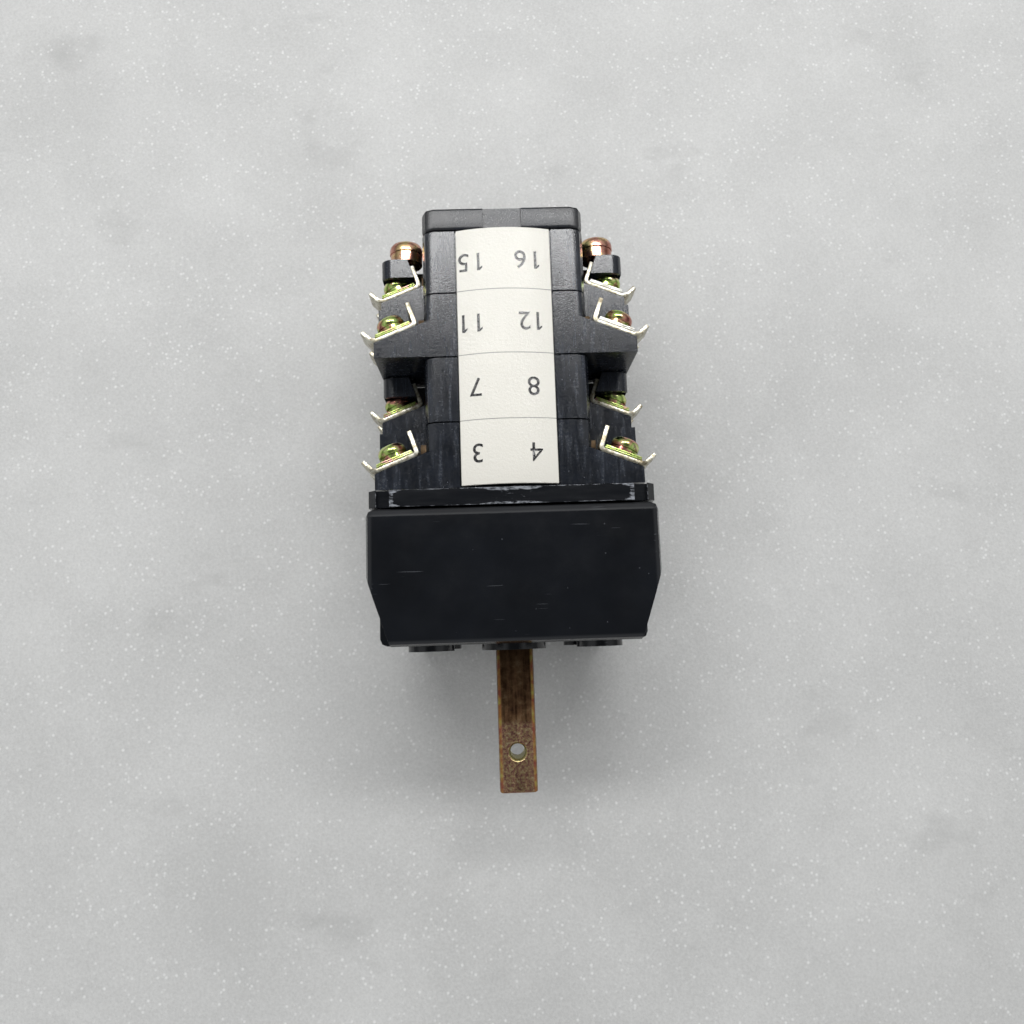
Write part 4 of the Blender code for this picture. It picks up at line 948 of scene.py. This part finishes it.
class SWITCH_OT_label(bpy.types.Operator):
    """Finish the label strip and print the terminal numbers on it"""

    bl_idname = "switch.label"
    bl_label = "Label and numbers"
    bl_options = {"REGISTER", "UNDO"}

    figures = {
        3: (-6.45, 38.6), 4: (5.6, 38.5), 7: (-6.6, 52.6), 8: (5.5, 52.45),
        11: (-6.9, 66.45), 12: (5.3, 66.55), 15: (-7.0, 79.95), 16: (5.0, 80.1),
    }

    def execute(self, context):
        strip = softened("label_strip", 0.1 * MM, 1)
        finish_piece("label_cream_strip", strip, cream_label(), BODY, ["label_strip"], 25.0)
        for number, (x, y) in self.figures.items():
            self.print_number(number, x * MM, y * MM)
        return {"FINISHED"}

    def print_number(self, number, x, y):
        """One number, read from the rear, laid on the label's curve."""
        text = bpy.data.curves.new(f"number_{number}", "FONT")
        text.body = str(number)
        text.align_x = "CENTER"
        text.align_y = "CENTER"
        text.size = sizes().figure_height / FIGURE_SHARE
        text.space_character = 0.98 if number == 12 else 1.12
        writing = bpy.data.objects.new(f"number_{number}", text)
        bpy.context.scene.collection.objects.link(writing)
        bpy.context.view_layer.update()
        graph = bpy.context.evaluated_depsgraph_get()
        mesh = bpy.data.meshes.new_from_object(writing.evaluated_get(graph))
        bpy.data.objects.remove(writing)
        shape = bmesh.new()
        shape.from_mesh(mesh)
        bpy.data.meshes.remove(mesh)
        bmesh.ops.remove_doubles(shape, verts=shape.verts, dist=0.003 * MM)
        self.add_flags(shape)
        width = [vert.co.x for vert in shape.verts]
        height = [vert.co.y for vert in shape.verts]
        centre = Vector(((min(width) + max(width)) / 2, (min(height) + max(height)) / 2, 0))
        bmesh.ops.translate(shape, vec=-centre, verts=shape.verts)
        half_turn = Matrix.Rotation(math.pi, 3, "Z")
        bmesh.ops.rotate(shape, cent=(0, 0, 0), matrix=half_turn, verts=shape.verts)
        bmesh.ops.translate(shape, vec=(x, y, 0), verts=shape.verts)
        raised = bmesh.ops.extrude_face_region(shape, geom=list(shape.faces))["geom"]
        tops = {item for item in raised if isinstance(item, bmesh.types.BMVert)}
        above, below = 0.035 * MM, -0.05 * MM
        for vert in shape.verts:
            vert.co.z = label_height(vert.co.x) + (above if vert in tops else below)
        bmesh.ops.recalc_face_normals(shape, faces=shape.faces)
        finish_piece(f"label_number_{number}", shape, printing_ink(), BODY)

    @staticmethod
    def add_flags(shape):
        """Gives every plain stroke, which is a one, its short flag at the top."""
        left = set(shape.verts)
        strokes = []
        while left:
            island, queue = set(), [left.pop()]
            while queue:
                vert = queue.pop()
                island.add(vert)
                near = {edge.other_vert(vert) for edge in vert.link_edges} & left
                left -= near
                queue += near
            x, y = [vert.co.x for vert in island], [vert.co.y for vert in island]
            if max(y) - min(y) > 4 * (max(x) - min(x)):
                strokes.append((min(x), max(x), min(y), max(y)))
        for low, high, bottom, top in strokes:
            height = top - bottom
            tip = low - 0.15 * height
            corners = [
                (high, top), (low, top), (tip, top - 0.15 * height), (tip, top - 0.25 * height),
                (low, top - 0.16 * height),
            ]
            points = [shape.verts.new((x, y, 0.0)) for x, y in corners]
            bmesh.ops.contextual_create(shape, geom=points)


class SWITCH_OT_shaft(bpy.types.Operator):
    """Finish the square shaft"""

    bl_idname = "switch.shaft"
    bl_label = "Shaft"
    bl_options = {"REGISTER", "UNDO"}

    def execute(self, context):
        bar = softened("drive_shaft", 0.12 * MM, 1)
        finish_piece("shaft_bar", bar, chromated_bar(), SHAFT, ["drive_shaft"], flat=True)
        return {"FINISHED"}


class SWITCH_OT_mechanism(bpy.types.Operator):
    """Finish the cams, the detent, the moving contacts and their springs"""

    bl_idname = "switch.mechanism"
    bl_label = "Mechanism"
    bl_options = {"REGISTER", "UNDO"}

    def execute(self, context):
        for name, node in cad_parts.items():
            if name.startswith(("cam_", "detent_wheel")):
                material = white_cam_plastic()
            elif name.startswith("moving_contact"):
                material = contact_copper()
            elif name in ("detent_spring", "shaft_circlip"):
                material = spring_wire()
            else:
                continue
            node.data.materials.clear()
            node.data.materials.append(material)
        for number in BLOCKS:
            for row in ("upper", "lower"):
                self.add_coil(f"contact_spring_{number}_{row}", f"contact_{number}_{row}", row)
        return {"FINISHED"}

    @staticmethod
    def add_coil(node, contact, row):
        """A contact's spring, copied as it stands from its seat in the block."""
        low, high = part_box(node)
        middle = (low + high) / 2
        seat, foot = (high.z, low.z) if row == "upper" else (low.z, high.z)
        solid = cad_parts[node]
        shape = bmesh.new()
        shape.from_mesh(solid.data)
        shape.transform(solid.matrix_world)
        bmesh.ops.remove_doubles(shape, verts=shape.verts, dist=WELD)
        ends = [(middle.x, middle.y, height) for height in (seat, foot)]
        finish_piece(node + "_coil", shape, spring_wire(), (BODY, contact, *ends), [node])


# Stage

CAMERA_PLACE = (-3.88 * MM, 1.20 * MM, 188.77 * MM)
CAMERA_TILT = math.radians(8.38)
CAMERA_YAW = math.radians(1.88)
CAMERA_ROLL = math.radians(1.06)
SENSOR_WIDTH = 36.0
CAMERA_LENS = SENSOR_WIDTH * 850.0 / 1024.0

# Name, place, target, width, length, power in watts, and whether glossy surfaces mirror it
LAMPS = (
    ("Overhead lamp", (0.0, 0.485, 0.74), (0.0, 0.085, 0.019), 0.9, 0.11, 5.6, True),
    ("Left window", (-0.9, 0.1, 0.8), (0.0, 0.03, 0.0), 0.9, 0.9, 2.6, False),
    ("Right window", (0.9, 0.3, 0.9), (0.0, 0.03, 0.0), 0.8, 0.8, 2.0, False),
)
# Brightness of the room by height: below the horizon, low, middle, and dim overhead
ROOM_STRENGTH = 0.66
ROOM_STOPS = ((0.0, 0.4), (0.3, 0.4), (0.5, 0.85), (0.84, 0.85), (0.96, 0.14))


class SWITCH_OT_stage(bpy.types.Operator):
    """Set the floor, the lamps, the world and the camera"""

    bl_idname = "switch.stage"
    bl_label = "Stage"
    bl_options = {"REGISTER", "UNDO"}

    def execute(self, context):
        self.add_floor()
        self.add_camera(context.scene)
        for lamp in LAMPS:
            self.add_lamp(*lamp)
        self.set_world(context.scene)
        context.scene.view_settings.view_transform = "Standard"
        return {"FINISHED"}

    @staticmethod
    def add_floor():
        shape = bmesh.new()
        bmesh.ops.create_grid(shape, x_segments=1, y_segments=1, size=FLOOR_REACH)
        bmesh.ops.translate(shape, vec=(0, 0, HOUSING_LOW.z), verts=shape.verts)
        mesh = bpy.data.meshes.new("table")
        shape.to_mesh(mesh)
        shape.free()
        table = bpy.data.objects.new("table", mesh)
        bpy.context.scene.collection.objects.link(table)
        mesh.materials.append(table_top())

    @staticmethod
    def add_camera(scene):
        cos_yaw, sin_yaw = math.cos(CAMERA_YAW), math.sin(CAMERA_YAW)
        cos_roll, sin_roll = math.cos(CAMERA_ROLL), math.sin(CAMERA_ROLL)
        cos_tilt, sin_tilt = math.cos(CAMERA_TILT), math.sin(CAMERA_TILT)
        right = Vector((cos_roll * cos_yaw, -cos_roll * sin_yaw, sin_roll))
        level = Vector((sin_roll * cos_yaw, -sin_roll * sin_yaw, -cos_roll))
        rear = Vector((sin_yaw, cos_yaw, 0.0))
        forward = rear * sin_tilt + level * cos_tilt
        upward = rear * cos_tilt - level * sin_tilt
        turn = Matrix((right, upward, -forward)).transposed().to_4x4()
        data = bpy.data.cameras.new("Camera")
        data.sensor_width = SENSOR_WIDTH
        data.lens = CAMERA_LENS
        data.clip_start = 0.01
        data.clip_end = 20.0
        camera = bpy.data.objects.new("Camera", data)
        scene.collection.objects.link(camera)
        camera.matrix_world = Matrix.Translation(CAMERA_PLACE) @ turn
        scene.camera = camera

    @staticmethod
    def add_lamp(name, place, target, width, length, power, mirrored):
        data = bpy.data.lights.new(name, "AREA")
        data.shape = "RECTANGLE"
        data.size = width
        data.size_y = length
        data.energy = power
        lamp = bpy.data.objects.new(name, data)
        bpy.context.scene.collection.objects.link(lamp)
        lamp.visible_glossy = mirrored
        lamp.location = place
        lamp.rotation_euler = (Vector(target) - Vector(place)).to_track_quat("-Z", "Y").to_euler()

    @staticmethod
    def set_world(scene):
        world = bpy.data.worlds.new("Soft room")
        world.use_nodes = True
        tree = world.node_tree
        background = tree.nodes["Background"]
        background.inputs["Strength"].default_value = ROOM_STRENGTH
        where = tree.nodes.new("ShaderNodeTexCoord")
        height = tree.nodes.new("ShaderNodeSeparateXYZ")
        sky = tree.nodes.new("ShaderNodeValToRGB")
        elements = sky.color_ramp.elements
        while len(elements) < len(ROOM_STOPS):
            elements.new(0.5)
        for element, (position, level) in zip(elements, ROOM_STOPS):
            element.position = position
            element.color = (0.96 * level, 0.98 * level, level, 1.0)
        tree.links.new(where.outputs["Generated"], height.inputs["Vector"])
        tree.links.new(height.outputs["Z"], sky.inputs["Fac"])
        tree.links.new(sky.outputs["Color"], background.inputs["Color"])
        scene.world = world


class SWITCH_PT_panel(bpy.types.Panel):
    """Lists the steps that dress the switch"""

    bl_idname = "SWITCH_PT_panel"
    bl_label = "Cam Switch"
    bl_space_type = "VIEW_3D"
    bl_region_type = "UI"
    bl_category = "Cam Switch"

    def draw(self, context):
        layout = self.layout
        for group in (context.scene.switch_sizes, context.scene.switch_colours):
            box = layout.box()
            for name in group.__annotations__:
                box.prop(group, name)
        for step in STEPS:
            layout.operator(step.bl_idname)


STEPS = (
    SWITCH_OT_mouldings,
    SWITCH_OT_terminals,
    SWITCH_OT_screws,
    SWITCH_OT_lug_screws,
    SWITCH_OT_tie_rods,
    SWITCH_OT_label,
    SWITCH_OT_shaft,
    SWITCH_OT_mechanism,
    SWITCH_OT_stage,
)
CLASSES = (SwitchSizes, SwitchColours, *STEPS, SWITCH_PT_panel)


def register():
    for item in CLASSES:
        bpy.utils.register_class(item)
    bpy.types.Scene.switch_sizes = bpy.props.PointerProperty(type=SwitchSizes)
    bpy.types.Scene.switch_colours = bpy.props.PointerProperty(type=SwitchColours)


def unregister():
    del bpy.types.Scene.switch_colours
    del bpy.types.Scene.switch_sizes
    for item in reversed(CLASSES):
        bpy.utils.unregister_class(item)


def main():
    register()
    for step in STEPS:
        getattr(bpy.ops.switch, step.bl_idname.split(".")[1])()


if __name__ == "__main__":
    main()
